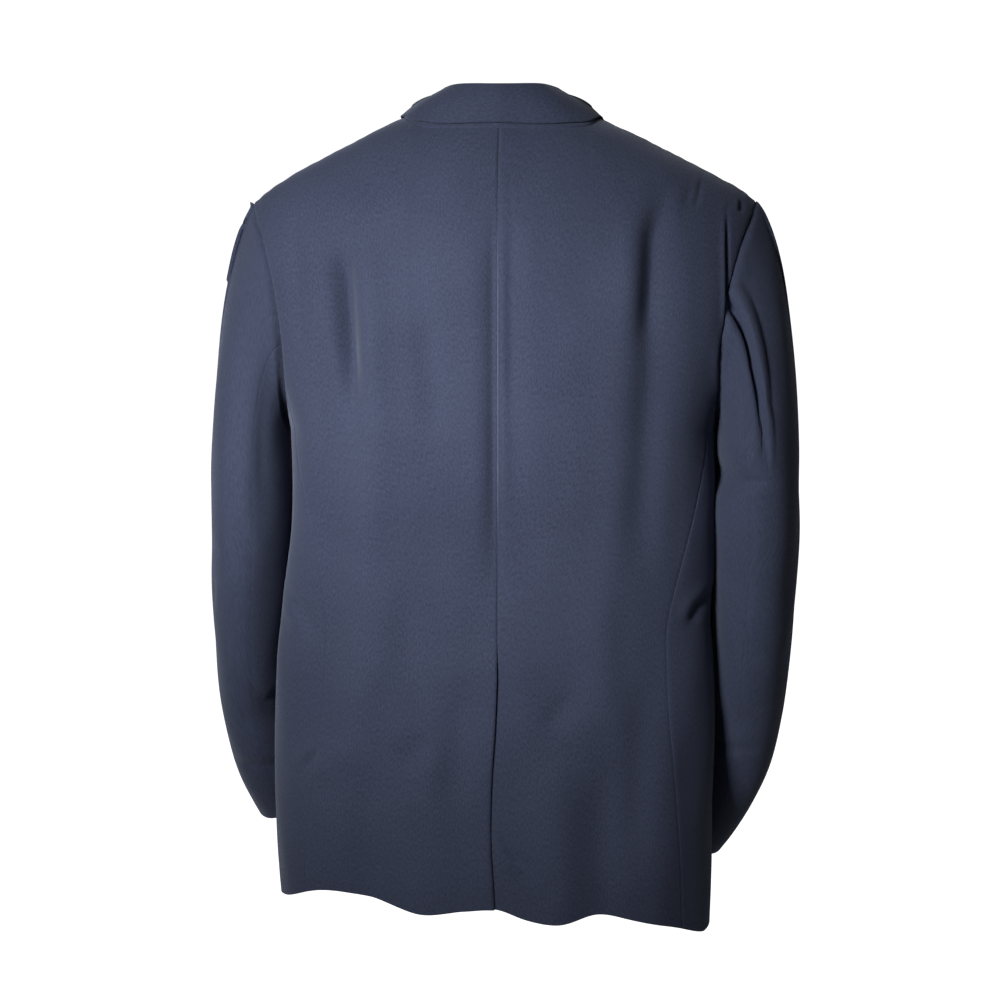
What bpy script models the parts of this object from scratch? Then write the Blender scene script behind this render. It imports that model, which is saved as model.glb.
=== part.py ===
"""A two-button blazer in wool cloth, hollow and filled out as if worn, hanging from its shoulders.

Metres, +Z up. The front faces -Y and the wearer's left is +X. The origin is the middle of the neck, at the
height of the seam between collar and back, on the line of the shoulder seams.

Each panel is a grid of points on the body or on a sleeve, given a wall of cloth on its inner side. A place on
the body is a girth and a level: girth runs over one half, from -1 at the centre front by 0 at the side to 1 at
the centre back, and level runs from -1 at the hem by 0 at the chest to 1 at the shoulder line.
"""

import math

import bpy
import numpy as np

# Cloth
WALL = 0.002
SEAM_GAP = 0.0003
LEFT, RIGHT = 1.0, -1.0
SIDES = (("left", LEFT), ("right", RIGHT))

# Body
CHEST_HEIGHT = -0.300
SHOULDER_HALF = 0.251
RING_SQUARENESS = 2.6
SHOULDER_ROUNDING = 3.0
NECK_HALF = 0.088
NECK_DIP = 0.091
# height, left half width, right half width, depth of the back, depth of the front
BODY_RINGS = (
    (-0.300, 0.2135, 0.2135, 0.118, 0.122),
    (-0.360, 0.2130, 0.2160, 0.113, 0.118),
    (-0.400, 0.2150, 0.2170, 0.108, 0.114),
    (-0.450, 0.2210, 0.2150, 0.105, 0.111),
    (-0.490, 0.2245, 0.2120, 0.105, 0.111),
    (-0.530, 0.2290, 0.2150, 0.108, 0.113),
    (-0.600, 0.2325, 0.2170, 0.113, 0.117),
    (-0.700, 0.2340, 0.2165, 0.117, 0.119),
    (-0.830, 0.2270, 0.2160, 0.117, 0.119),
)
# distance from the centre, height of the shoulder line
SHOULDER_LINE = (
    (0.000, 0.030),
    (0.050, 0.023),
    (0.088, 0.010),
    (0.120, -0.0036),
    (0.155, -0.0214),
    (0.187, -0.0373),
    (0.215, -0.0518),
    (0.237, -0.065),
    (0.251, -0.076),
)
# place across the back, positive to the wearer's left, and height of the hem
HEM_LINE = (
    (0.230, -0.788),
    (0.179, -0.762),
    (0.129, -0.763),
    (0.074, -0.7735),
    (0.031, -0.769),
    (0.000, -0.768),
    (-0.030, -0.778),
    (-0.062, -0.7815),
    (-0.108, -0.7755),
    (-0.150, -0.784),
    (-0.190, -0.797),
    (-0.217, -0.812),
)
FRONT_HEM = -0.806

# Armhole, an ellipse in girth and in the rise from chest to shoulder line
ARMHOLE_BACK = 0.235
ARMHOLE_FRONT = 0.300
SIDE_BACK_SEAM_RISE = 0.165
SIDE_FRONT_SEAM_RISE = 0.096
# height, girth of the seam between back and side, girth of the seam between front and side
SIDE_SEAMS = (
    (-0.262, 0.1745, -0.1767),
    (-0.320, 0.182, -0.180),
    (-0.360, 0.232, -0.186),
    (-0.420, 0.304, -0.198),
    (-0.480, 0.352, -0.202),
    (-0.530, 0.365, -0.202),
    (-0.610, 0.352, -0.198),
    (-0.700, 0.319, -0.194),
    (-0.800, 0.289, -0.190),
)
# level, distance from the centre of the front's edge: neck, roll line, buttoned edge, cut-away lower corner
FRONT_EDGE = (
    (1.000, 0.0880),
    (0.880, 0.0865),
    (0.760, 0.0840),
    (0.640, 0.0800),
    (0.512, 0.0750),
    (0.391, 0.0630),
    (0.171, 0.0340),
    (0.000, 0.0040),
    (-0.150, -0.0180),
    (-0.300, -0.0180),
    (-0.500, -0.0180),
    (-0.600, -0.0130),
    (-0.700, -0.0020),
    (-0.800, 0.0160),
    (-0.900, 0.0420),
    (-0.960, 0.0660),
    (-1.000, 0.1050),
)
GORGE_ROW = 5
ROLL_END_LEVEL = -0.150
LAP_START, LAP_FULL = 0.060, 0.022
LAP = 0.0028

# Centre vent of the back: the left edge laps over the right
VENT_TOP = -0.536
VENT_UNDERLAP = 0.036
VENT_LIFT = 0.0032
VENT_EASE = 0.040
VENT_SPREAD = 0.80
VENT_START, VENT_FULL = 0.085, 0.040
VENT_SHOULDER = 0.012

# Share of a fold's length over which it grows at its top and fades at its bottom
FOLD_HEAD, FOLD_TAIL = 0.22, 0.30
# Folds of the body: half of the body, back or front, distance from the centre at the top and at the bottom,
# height of the top and of the bottom, half width, rise (negative for a trough)
BODY_FOLDS = (
    (LEFT, 1, 0.004, 0.003, -0.060, -0.480, 0.011, -0.0055),
    (RIGHT, 1, 0.014, 0.016, -0.070, -0.420, 0.012, -0.0030),
    (LEFT, 1, 0.128, 0.190, -0.080, -0.690, 0.022, -0.0060),
    (LEFT, 1, 0.105, 0.150, -0.080, -0.720, 0.020, 0.0050),
    (RIGHT, 1, 0.155, 0.133, -0.050, -0.470, 0.018, -0.0060),
    (RIGHT, 1, 0.128, 0.112, -0.060, -0.500, 0.022, 0.0035),
    (LEFT, 1, 0.074, 0.068, -0.560, -0.900, 0.024, 0.0060),
    (LEFT, 1, 0.130, 0.132, -0.600, -0.900, 0.022, -0.0050),
    (RIGHT, 1, 0.055, 0.062, -0.600, -0.900, 0.024, 0.0060),
    (RIGHT, 1, 0.100, 0.108, -0.600, -0.900, 0.020, -0.0055),
    (RIGHT, 1, 0.165, 0.160, -0.580, -0.900, 0.022, 0.0040),
    (LEFT, -1, 0.150, 0.135, -0.100, -0.420, 0.020, -0.0050),
    (RIGHT, -1, 0.150, 0.135, -0.100, -0.420, 0.020, -0.0050),
    (LEFT, -1, 0.120, 0.130, -0.600, -0.900, 0.026, 0.0045),
    (RIGHT, -1, 0.130, 0.115, -0.600, -0.900, 0.026, 0.0045),
)

# Sleeves: height, place across, place in depth, half width, half depth of each ring, for each arm
LEFT_SLEEVE = (
    (-0.345, 0.2563, -0.002, 0.0408, 0.083),
    (-0.405, 0.2574, -0.003, 0.0397, 0.081),
    (-0.450, 0.2603, -0.006, 0.0382, 0.078),
    (-0.515, 0.2637, -0.019, 0.0344, 0.073),
    (-0.585, 0.2647, -0.042, 0.0315, 0.067),
    (-0.632, 0.2615, -0.060, 0.0315, 0.063),
    (-0.672, 0.2540, -0.079, 0.0320, 0.060),
    (-0.703, 0.2460, -0.095, 0.0300, 0.058),
)
RIGHT_SLEEVE = (
    (-0.345, 0.2579, -0.002, 0.0406, 0.083),
    (-0.405, 0.2597, -0.003, 0.0412, 0.081),
    (-0.450, 0.2578, -0.006, 0.0411, 0.078),
    (-0.520, 0.2564, -0.020, 0.0396, 0.073),
    (-0.590, 0.2540, -0.042, 0.0380, 0.067),
    (-0.648, 0.2470, -0.064, 0.0354, 0.063),
    (-0.697, 0.2350, -0.090, 0.0310, 0.060),
    (-0.741, 0.2200, -0.117, 0.0265, 0.058),
)
SLEEVE_SQUARENESS = 2.2
# Pull of the sleeve head along the shoulder, of the sleeve under the arm, and of both into the upper arm
HEAD_PULL, UNDERARM_PULL, ARM_PULL = 0.56, 0.37, 1.00
HEAD_SPACING = 1.3
CAP_LIFT, UNDERARM_LIFT = math.radians(12), math.radians(80)
# Folds of the sleeves: half of the body, turn round the sleeve in degrees (0 outside, 90 back), height, half
# width of the turn, half width of the height, rise
SLEEVE_FOLDS = (
    (RIGHT, 150.0, -0.345, 40.0, 0.016, -0.0080),
    (RIGHT, 120.0, -0.310, 45.0, 0.022, 0.0040),
    (LEFT, 130.0, -0.600, 45.0, 0.020, -0.0040),
    (RIGHT, 110.0, -0.600, 45.0, 0.020, -0.0030),
    (LEFT, 265.0, -0.430, 40.0, 0.022, -0.0060),
    (RIGHT, 265.0, -0.430, 40.0, 0.022, -0.0060),
)

# Collar: a stand that leans in from the neck seam, rolls over and falls outside it
COLLAR_ROLL = 0.0042
COLLAR_SEAT = 0.0030
COLLAR_BOW = 0.0034
COLLAR_FOOT_GAP = 0.0010
NECK_MIDDLE = (0.0, -0.03, 0.03)
# place along half the collar from the centre back (0) to the gorge (1), place and height of the roll
COLLAR_LINE = (
    (0.00, 0.0000, 0.0480, 0.0300),
    (0.17, 0.0300, 0.0430, 0.0300),
    (0.25, 0.0405, 0.0380, 0.0295),
    (0.33, 0.0495, 0.0300, 0.0285),
    (0.42, 0.0560, 0.0180, 0.0265),
    (0.50, 0.0595, -0.0020, 0.0235),
    (0.60, 0.0600, -0.0240, 0.0150),
    (0.70, 0.0615, -0.0450, 0.0010),
    (0.80, 0.0640, -0.0650, -0.0160),
    (0.90, 0.0685, -0.0840, -0.0380),
    (1.00, 0.0725, -0.1000, -0.0715),
)
# place along half the collar, distance from the centre and height of the fall's edge on the body
COLLAR_EDGE = (
    (0.00, 0.0000, -0.0035),
    (0.17, 0.0500, -0.0045),
    (0.33, 0.0840, -0.0010),
    (0.50, 0.0990, 0.0045),
    (0.60, 0.1075, -0.0040),
    (0.70, 0.1150, -0.0180),
    (0.80, 0.1210, -0.0360),
    (0.90, 0.1255, -0.0560),
    (1.00, 0.1040, -0.0880),
)

# Lapels: share of the way from the roll's end to the gorge, width across
LAPEL_WIDTH = (
    (0.00, 0.004),
    (0.25, 0.030),
    (0.50, 0.050),
    (0.75, 0.064),
    (0.90, 0.070),
    (1.00, 0.064),
)
LAPEL_CLEARANCE = 0.0006
LAPEL_ROLL = 0.0035
# levels left free above the roll's end and below the gorge, shift of the under lapel, fall of the upper edge
LAPEL_FOOT_LEVEL, LAPEL_GORGE_LEVEL = 0.010, 0.022
LAPEL_UNDER_SHIFT = 0.003
LAPEL_DROP, LAPEL_DROP_START = 0.014, 0.75

# Pocket flaps and buttons
FLAP_TOP, FLAP_DEPTH = -0.560, 0.052
FLAP_INNER, FLAP_OUTER = -0.640, -0.235
BUTTON_RADIUS, BUTTON_THICKNESS = 0.0100, 0.0032
BUTTON_SEAT, BUTTON_SIDES = 0.0003, 20
BUTTON_HEIGHTS = (("upper", -0.425), ("lower", -0.530))

# Step in girth and level over which a surface's normal is taken
NORMAL_STEP = 1e-3
# Share of that step which is taken towards the shoulder line, where the surface ends
STEP_UP = 0.9

# Grid sizes: cells along each panel
SIDE_ROWS, UPPER_ROWS = 19, 9
BACK_COLUMNS, NECK_COLUMNS, FRONT_COLUMNS, SIDE_COLUMNS = 14, 6, 12, 6
CAP_ROWS, SLEEVE_ROWS = 7, 14
LAPEL_ROWS, LAPEL_COLUMNS = 12, 5
FLAP_COLUMNS, FLAP_ROWS = 8, 2

# Colours
NAVY = (0.040, 0.046, 0.080)
BUTTON_COLOUR = (0.012, 0.013, 0.018)


def clear_scene():
    for found in list(bpy.data.objects):
        bpy.data.objects.remove(found, do_unlink=True)


def column_at(rows, column, place):
    """One column of a table at any place along its first column, on a smooth curve through the rows."""
    table = np.array(sorted(rows))
    keys, values = table[:, 0], table[:, column]
    slopes = np.gradient(values, keys)
    i = np.clip(np.searchsorted(keys, place) - 1, 0, len(keys) - 2)
    span = keys[i + 1] - keys[i]
    t = np.clip((place - keys[i]) / span, 0.0, 1.0)
    return (
        (1 + 2 * t) * (1 - t) ** 2 * values[i]
        + t * (1 - t) ** 2 * span * slopes[i]
        + t * t * (3 - 2 * t) * values[i + 1]
        + t * t * (t - 1) * span * slopes[i + 1]
    )


def smooth_step(value):
    t = np.clip(value, 0.0, 1.0)
    return t * t * (3 - 2 * t)


def unit(vectors):
    return vectors / np.maximum(np.linalg.norm(vectors, axis=-1, keepdims=True), 1e-12)


def quarter_ring():
    """Girth, share across and share in depth along one quarter of the body's rounded ring."""
    angle = np.linspace(0.0, math.pi / 2, 4001)
    across = np.cos(angle) ** (2 / RING_SQUARENESS)
    deep = np.sin(angle) ** (2 / RING_SQUARENESS)
    across[-1] = 0.0
    length = np.hypot(np.diff(SHOULDER_HALF * across), np.diff(BODY_RINGS[0][3] * deep))
    girth = np.concatenate([[0.0], np.cumsum(length)])
    return girth / girth[-1], across, deep


GIRTH, ACROSS, DEEP = quarter_ring()


def girth_at(share_across):
    """Girth of a place by its share of the half width; a negative share lies past the centre."""
    share = np.abs(share_across)
    girth = np.interp(-share, -ACROSS, GIRTH)
    return np.where(np.asarray(share_across) < 0, 2 - girth, girth)


def level_of(rise):
    return 1 - np.sqrt(1 - rise)


def rise_of(level):
    return 1 - (1 - np.clip(level, 0.0, 1.0)) ** 2


def half_width(side, height, rise):
    at_height = column_at(BODY_RINGS, 1 if side == LEFT else 2, height)
    return at_height + (SHOULDER_HALF - at_height) * np.sin(rise * math.pi / 2)


def hem_height(side, across, back):
    """The hem's wave across the back, running level into the front."""
    at_side = HEM_LINE[0][1] if side == LEFT else HEM_LINE[-1][1]
    wave = column_at(HEM_LINE, 1, side * across * BODY_RINGS[-1][1])
    front = at_side + (FRONT_HEM - at_side) * (1 - np.abs(across))
    return np.where(back, wave, front)


def smooth_body(side, girth, level):
    """A place on the body before its folds."""
    girth, level = np.broadcast_arrays(np.asarray(girth, float), np.asarray(level, float))
    quarter = np.where(np.abs(girth) > 1, 2 - np.abs(girth), np.abs(girth))
    across = np.where(np.abs(girth) > 1, -1.0, 1.0) * np.interp(quarter, GIRTH, ACROSS)
    deep = np.sign(girth) * np.interp(quarter, GIRTH, DEEP)
    rise = rise_of(level)
    hem = hem_height(side, across, girth >= 0)
    low = CHEST_HEIGHT + np.maximum(-level, 0.0) * (hem - CHEST_HEIGHT)
    x = half_width(side, low, rise) * across
    ridge = column_at(SHOULDER_LINE, 1, np.abs(x))
    depth = np.where(girth >= 0, column_at(BODY_RINGS, 3, low), column_at(BODY_RINGS, 4, low))
    y = deep * depth * np.sqrt(1 - rise**SHOULDER_ROUNDING)
    z = low + rise * (ridge - CHEST_HEIGHT)
    return np.stack([side * x, y, z], axis=-1)


def surface_normals(surface, side, girth, level):
    """Outward normals of a surface that is given by a function of side, girth and level."""
    step = NORMAL_STEP
    level = np.minimum(level, 1 - step)
    along = surface(side, girth + step, level) - surface(side, girth - step, level)
    up = surface(side, girth, level + step * STEP_UP) - surface(side, girth, level - step)
    return unit(np.cross(along, up)) * side


def fold_rise(side, places, back):
    """How far the folds of the body stand out at each place."""
    x, z = side * places[..., 0], places[..., 2]
    total = np.zeros(x.shape)
    for fold_side, facing, top_x, low_x, top, low, width, rise in BODY_FOLDS:
        mirrored = 1.0 if fold_side == side else -1.0
        t = (top - z) / (top - low)
        middle = (top_x + (low_x - top_x) * t) * mirrored
        across = np.exp(-(((x - middle) / width) ** 2))
        ends = smooth_step(t / FOLD_HEAD) * smooth_step((1 - t) / FOLD_TAIL)
        total += np.where(back == (facing > 0), rise * across * ends, 0.0)
    return total


def lap_rise(side, places, back):
    """The left front stands out over the right one, and the left edge of the vent over the right edge."""
    x, z = side * places[..., 0], places[..., 2]
    front = LAP * smooth_step((LAP_START - x) / (LAP_START - LAP_FULL))
    open_share = smooth_step((VENT_TOP + VENT_EASE - z) / VENT_EASE)
    vent = VENT_LIFT * smooth_step((VENT_START - x) / (VENT_START - VENT_FULL)) * open_share
    if side == RIGHT:
        return np.zeros(x.shape)
    return np.where(back, vent, front)


def body(side, girth, level):
    """A place on the finished outer surface of the body."""
    girth, level = np.broadcast_arrays(np.asarray(girth, float), np.asarray(level, float))
    places = smooth_body(side, girth, level)
    normals = surface_normals(smooth_body, side, girth, level)
    rise = fold_rise(side, places, girth >= 0) + lap_rise(side, places, girth >= 0)
    return places + normals * rise[..., None]


def body_normals(side, girth, level):
    return surface_normals(body, side, girth, level)


def front_place(side, x, z):
    """Girth and level of a place on the front, by its distance from the centre and its height."""
    ridge = column_at(SHOULDER_LINE, 1, np.abs(x))
    rise = np.clip((z - CHEST_HEIGHT) / (ridge - CHEST_HEIGHT), 0.0, 0.9999)
    low = np.minimum(z, CHEST_HEIGHT)
    across = x / half_width(side, low, rise)
    hem = hem_height(side, np.abs(across), False)
    level = np.where(z > CHEST_HEIGHT, level_of(rise), (CHEST_HEIGHT - z) / (hem - CHEST_HEIGHT))
    return -girth_at(across), level


def back_place(side, x, z):
    """Girth and level of a place on the back above the chest."""
    ridge = column_at(SHOULDER_LINE, 1, np.abs(x))
    rise = np.clip((z - CHEST_HEIGHT) / (ridge - CHEST_HEIGHT), 0.0, 0.9999)
    across = x / half_width(side, CHEST_HEIGHT, rise)
    return girth_at(across), level_of(rise)


def armhole_girth(rise, back):
    turn = np.sqrt(np.maximum(1 - (2 * rise - 1) ** 2, 0.0))
    return ARMHOLE_BACK * turn if back else -ARMHOLE_FRONT * turn


def armhole_turn(rise, back):
    """Turn round the armhole in radians: 0 at the shoulder, a quarter at the back, a half under the arm."""
    turn = np.arccos(np.clip(2 * rise - 1, -1.0, 1.0))
    return turn if back else 2 * math.pi - turn


def panel_rows(seam_rise):
    """Levels of a panel's rows: evenly from the hem to the side seam's top, then evenly to the shoulder."""
    seam_level = float(level_of(seam_rise))
    below = np.linspace(-1.0, seam_level, SIDE_ROWS + 1)
    above = np.linspace(seam_level, 1.0, UPPER_ROWS + 1)
    return np.concatenate([below, above[1:]])


def seam_girth(side, level, column):
    """Girth of a side seam on each level."""
    guess = np.full(np.shape(level), SIDE_SEAMS[0][column])
    for _ in range(3):
        guess = column_at(SIDE_SEAMS, column, smooth_body(side, guess, level)[..., 2])
    return guess


def outer_edge(side, levels, seam_rise, column, back):
    """A back or front panel's outer edge: side seam, then armhole."""
    seam_level = float(level_of(seam_rise))
    low = seam_girth(side, np.minimum(levels, seam_level), column)
    return np.where(levels > seam_level + 1e-6, armhole_girth(rise_of(levels), back), low)


def inset(grid, low_row=0.5, high_row=0.5, low_column=0.5, high_column=0.5):
    """Draws the edges of a grid in by their shares of the seam gap."""
    grid = grid.copy()
    grid[0] += unit(grid[1] - grid[0]) * SEAM_GAP * low_row
    grid[-1] += unit(grid[-2] - grid[-1]) * SEAM_GAP * high_row
    grid[:, 0] += unit(grid[:, 1] - grid[:, 0]) * SEAM_GAP * low_column
    grid[:, -1] += unit(grid[:, -2] - grid[:, -1]) * SEAM_GAP * high_column
    return grid


def cloth_material(name, colour, roughness):
    material = bpy.data.materials.new(name)
    material.use_nodes = True
    shader = material.node_tree.nodes["Principled BSDF"]
    shader.inputs["Base Color"].default_value = (*colour, 1.0)
    shader.inputs["Roughness"].default_value = roughness
    shader.inputs["Metallic"].default_value = 0.0
    material.diffuse_color = (*colour, 1.0)
    return material


def add_mesh(name, points, faces, colour, roughness=0.85):
    mesh = bpy.data.meshes.new(name)
    mesh.from_pydata([tuple(point) for point in points], [], faces)
    mesh.update()
    mesh.materials.append(cloth_material(name + "_cloth", colour, roughness))
    mesh.shade_smooth()
    mesh.set_sharp_from_angle(angle=math.radians(50))
    made = bpy.data.objects.new(name, mesh)
    bpy.context.scene.collection.objects.link(made)
    return made


def wall_faces(rows, columns, flip):
    """Faces of a closed wall round two grids of points, the outer one first."""
    count = rows * columns
    faces = []
    for i in range(rows - 1):
        for j in range(columns - 1):
            a = i * columns + j
            b, c, d = a + 1, a + columns + 1, a + columns
            faces.append((a, b, c, d))
            faces.append((a + count, d + count, c + count, b + count))
    rim = list(range(columns - 1))
    rim += [i * columns + columns - 1 for i in range(rows - 1)]
    rim += [(rows - 1) * columns + j for j in range(columns - 1, 0, -1)]
    rim += [i * columns for i in range(rows - 1, 0, -1)]
    for a, b in zip(rim, rim[1:] + rim[:1]):
        faces.append((b, a, a + count, b + count))
    return [face[::-1] for face in faces] if flip else faces


def add_wall(name, outer, normals, colour=NAVY, wall=WALL):
    """A panel of cloth: the outer grid, and the same grid moved in by the wall."""
    rows, columns = outer.shape[:2]
    inner = outer - normals * wall
    turning = np.cross(outer[:-1, 1:] - outer[:-1, :-1], outer[1:, :-1] - outer[:-1, :-1])
    flip = bool((turning * normals[:-1, :-1]).sum() < 0)
    points = np.concatenate([outer.reshape(-1, 3), inner.reshape(-1, 3)])
    return add_mesh(name, points, wall_faces(rows, columns, flip), colour)


def neck_places():
    """Distances from the centre at which the back neck seam has a point, from the shoulder seam inwards."""
    return NECK_HALF * np.cos(np.linspace(0.0, math.pi / 2, NECK_COLUMNS + 1))


def neck_rise(x):
    """Rise of the back neck seam at a distance from the centre."""
    return 1 - NECK_DIP * np.sqrt(np.maximum(1 - (np.abs(x) / NECK_HALF) ** 2, 0.0))


def back_panel(name, side):
    """From the side seam and armhole to the centre back, up to the shoulder and neck seams."""
    levels = panel_rows(SIDE_BACK_SEAM_RISE)
    edge = outer_edge(side, levels, SIDE_BACK_SEAM_RISE, 1, True)
    neck_girths = girth_at(neck_places() / SHOULDER_HALF)
    across = np.linspace(0.0, 1.0, BACK_COLUMNS - NECK_COLUMNS + 1)[:-1]
    outside = edge[:, None] + (neck_girths[0] - edge)[:, None] * across[None, :]
    girths = np.hstack([outside, np.repeat(neck_girths[None, :], len(levels), axis=0)])
    seam_level = float(level_of(SIDE_BACK_SEAM_RISE))
    top = np.concatenate([np.ones(len(across)), level_of(neck_rise(neck_places()))])
    climb = np.clip((levels - seam_level) / (1 - seam_level), 0.0, 1.0)[:, None]
    above = seam_level + climb * (top[None, :] - seam_level)
    grid_levels = np.where(levels[:, None] > seam_level, above, levels[:, None])
    lap = girth_at(-vent_reach(side, levels)) - 1
    girths = girths + lap[:, None] * smooth_step((girths - VENT_SPREAD) / (1 - VENT_SPREAD))
    outer = body(side, girths, grid_levels)
    normals = body_normals(side, girths, grid_levels)
    return add_wall(name, inset(outer, low_row=0.0), normals)


def vent_reach(side, levels):
    """How far each level of the centre back edge runs past the centre, as a share of the half width."""
    height = smooth_body(side, np.ones_like(levels), levels)[:, 2]
    open_share = smooth_step((VENT_TOP - height) / VENT_SHOULDER)
    reach = VENT_UNDERLAP if side == RIGHT else 0.0
    return open_share * reach / BODY_RINGS[-2][1]


def side_panel(name, side):
    """Under the arm, from the front's seam to the back's."""
    back_level = float(level_of(SIDE_BACK_SEAM_RISE))
    front_level = float(level_of(SIDE_FRONT_SEAM_RISE))
    shares = np.linspace(0.0, 1.0, SIDE_COLUMNS + 1)
    top_girth = SIDE_SEAMS[0][2] + (SIDE_SEAMS[0][1] - SIDE_SEAMS[0][2]) * shares
    spread = np.where(top_girth >= 0, ARMHOLE_BACK, ARMHOLE_FRONT)
    top_level = level_of(0.5 - 0.5 * np.sqrt(1 - (top_girth / spread) ** 2))
    top_level[0], top_level[-1] = front_level, back_level
    climb = np.linspace(0.0, 1.0, SIDE_ROWS + 1)[:, None]
    levels = -1 + climb * (top_level[None, :] + 1)
    front_girth = seam_girth(side, levels[:, 0], 2)[:, None]
    back_girth = seam_girth(side, levels[:, -1], 1)[:, None]
    girths = front_girth + (back_girth - front_girth) * shares[None, :]
    girths[-1] = top_girth
    outer = body(side, girths, levels)
    normals = body_normals(side, girths, levels)
    return add_wall(name, inset(outer, low_row=0.0), normals)


def front_girths(side, levels):
    """Girth of the front's free edge on each level."""
    x = column_at(FRONT_EDGE, 1, levels)
    height = np.minimum(smooth_body(side, -np.ones_like(levels), levels)[:, 2], CHEST_HEIGHT)
    return -girth_at(x / half_width(side, height, rise_of(levels)))


def front_panel(name, side):
    """From the side seam and armhole to the roll line and the buttoned edge."""
    levels = panel_rows(SIDE_FRONT_SEAM_RISE)
    edge = outer_edge(side, levels, SIDE_FRONT_SEAM_RISE, 2, False)
    free = front_girths(side, levels)
    shares = np.linspace(0.0, 1.0, FRONT_COLUMNS + 1)[None, :]
    girths = edge[:, None] + (free - edge)[:, None] * shares
    grid_levels = np.repeat(levels[:, None], FRONT_COLUMNS + 1, axis=1)
    outer = body(side, girths, grid_levels)
    normals = body_normals(side, girths, grid_levels)
    return add_wall(name, inset(outer, low_row=0.0, high_column=0.0), normals)


def sleeve_turns():
    """Turns of the sleeve's lengthwise lines, on the points that the body's panels put round the armhole."""
    back = armhole_turn(rise_of(panel_rows(SIDE_BACK_SEAM_RISE)[SIDE_ROWS:]), True)[::-1]
    front = armhole_turn(rise_of(panel_rows(SIDE_FRONT_SEAM_RISE)[SIDE_ROWS:]), False)
    girth = np.linspace(SIDE_SEAMS[0][1], SIDE_SEAMS[0][2], SIDE_COLUMNS + 1)[1:-1]
    spread = np.where(girth >= 0, ARMHOLE_BACK, ARMHOLE_FRONT)
    under = math.pi - np.arcsin(girth / spread)
    return np.concatenate([back, under, front])


def armhole_frame(side, turns):
    """Points of the armhole, the way into the hole along the cloth, and the body's normals there."""
    rise = 0.5 + 0.5 * np.cos(turns)
    spread = np.where(np.sin(turns) >= 0, ARMHOLE_BACK, ARMHOLE_FRONT)
    girth = spread * np.sin(turns)
    level = np.minimum(level_of(rise), 0.9995)
    points = body(side, girth, np.where(turns % (2 * math.pi) < 1e-6, 1.0, level_of(rise)))
    normals = body_normals(side, girth, level)
    ahead = np.roll(points, -1, axis=0) - np.roll(points, 1, axis=0)
    ahead[0] = ahead[-1] = points[1] - points[-2]
    inward = unit(np.cross(normals, unit(ahead)))
    middle = body(side, np.array(0.0), np.array(float(level_of(0.5))))
    inward *= np.sign((inward * (middle - points)).sum(axis=-1))[:, None]
    return points, inward, normals


def sleeve_ring(side, turns, place):
    """Points of one ring of the sleeve and its downward way; place is 0 at the upper arm and 1 at the cuff."""
    table = LEFT_SLEEVE if side == LEFT else RIGHT_SLEEVE
    top, low = table[0][0], table[-1][0]

    def middle(share):
        height = top + (low - top) * share
        return np.array([side * column_at(table, 1, height), column_at(table, 2, height), height])

    height = top + (low - top) * place
    down = unit(middle(min(place + 0.01, 1.0)) - middle(max(place - 0.01, 0.0)))
    wide = unit(np.array([side, 0.0, 0.0]) - down * down[0] * side)
    deep = np.cross(down, wide)
    deep = deep * np.sign(deep[1])
    across, depth = np.cos(turns), np.sin(turns)
    across = np.sign(across) * np.abs(across) ** (2 / SLEEVE_SQUARENESS)
    depth = np.sign(depth) * np.abs(depth) ** (2 / SLEEVE_SQUARENESS)
    half, reach = column_at(table, 3, height), column_at(table, 4, height)
    ring = middle(place) + across[:, None] * half * wide + depth[:, None] * reach * deep
    return ring, down


def sleeve_grid(side):
    """The whole sleeve, from the armhole to the cuff: one row for each ring, one column for each turn."""
    turns = sleeve_turns()
    points, inward, normals = armhole_frame(side, turns)
    under = ((1 - np.cos(turns)) / 2) ** 3
    lift = (CAP_LIFT + (UNDERARM_LIFT - CAP_LIFT) * under)[:, None]
    pull = (HEAD_PULL + (UNDERARM_PULL - HEAD_PULL) * under)[:, None]
    way = np.cos(lift) * inward + np.sin(lift) * normals
    start = points + way * SEAM_GAP * 1.5
    first, down = sleeve_ring(side, turns, 0.0)
    distance = np.linalg.norm(first - start, axis=-1)[:, None]
    rows = []
    for step in range(CAP_ROWS):
        t = (step / CAP_ROWS) ** HEAD_SPACING
        rows.append(
            (1 + 2 * t) * (1 - t) ** 2 * start
            + t * (1 - t) ** 2 * distance * pull * way
            + t * t * (3 - 2 * t) * first
            + t * t * (t - 1) * distance * ARM_PULL * down
        )
    rows += [sleeve_ring(side, turns, step / SLEEVE_ROWS)[0] for step in range(SLEEVE_ROWS + 1)]
    return np.array(rows), turns


def ring_normals(grid, side):
    """Outward normals of a sleeve's closed rings; the first column and the last are the same place."""
    around = np.empty_like(grid)
    around[:, 1:-1] = grid[:, 2:] - grid[:, :-2]
    around[:, 0] = around[:, -1] = grid[:, 1] - grid[:, -2]
    down = np.gradient(grid, axis=0)
    return unit(np.cross(down, around)) * side


def fold_sleeve(side, grid, turns, normals):
    """The sleeve with its folds."""
    degrees = np.degrees(turns)[None, :]
    total = np.zeros(grid.shape[:2])
    for fold_side, turn, height, turn_width, height_width, rise in SLEEVE_FOLDS:
        if fold_side != side:
            continue
        away = (degrees - turn + 180) % 360 - 180
        total += rise * np.exp(-((away / turn_width) ** 2) - ((grid[..., 2] - height) / height_width) ** 2)
    return grid + normals * total[..., None]


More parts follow.
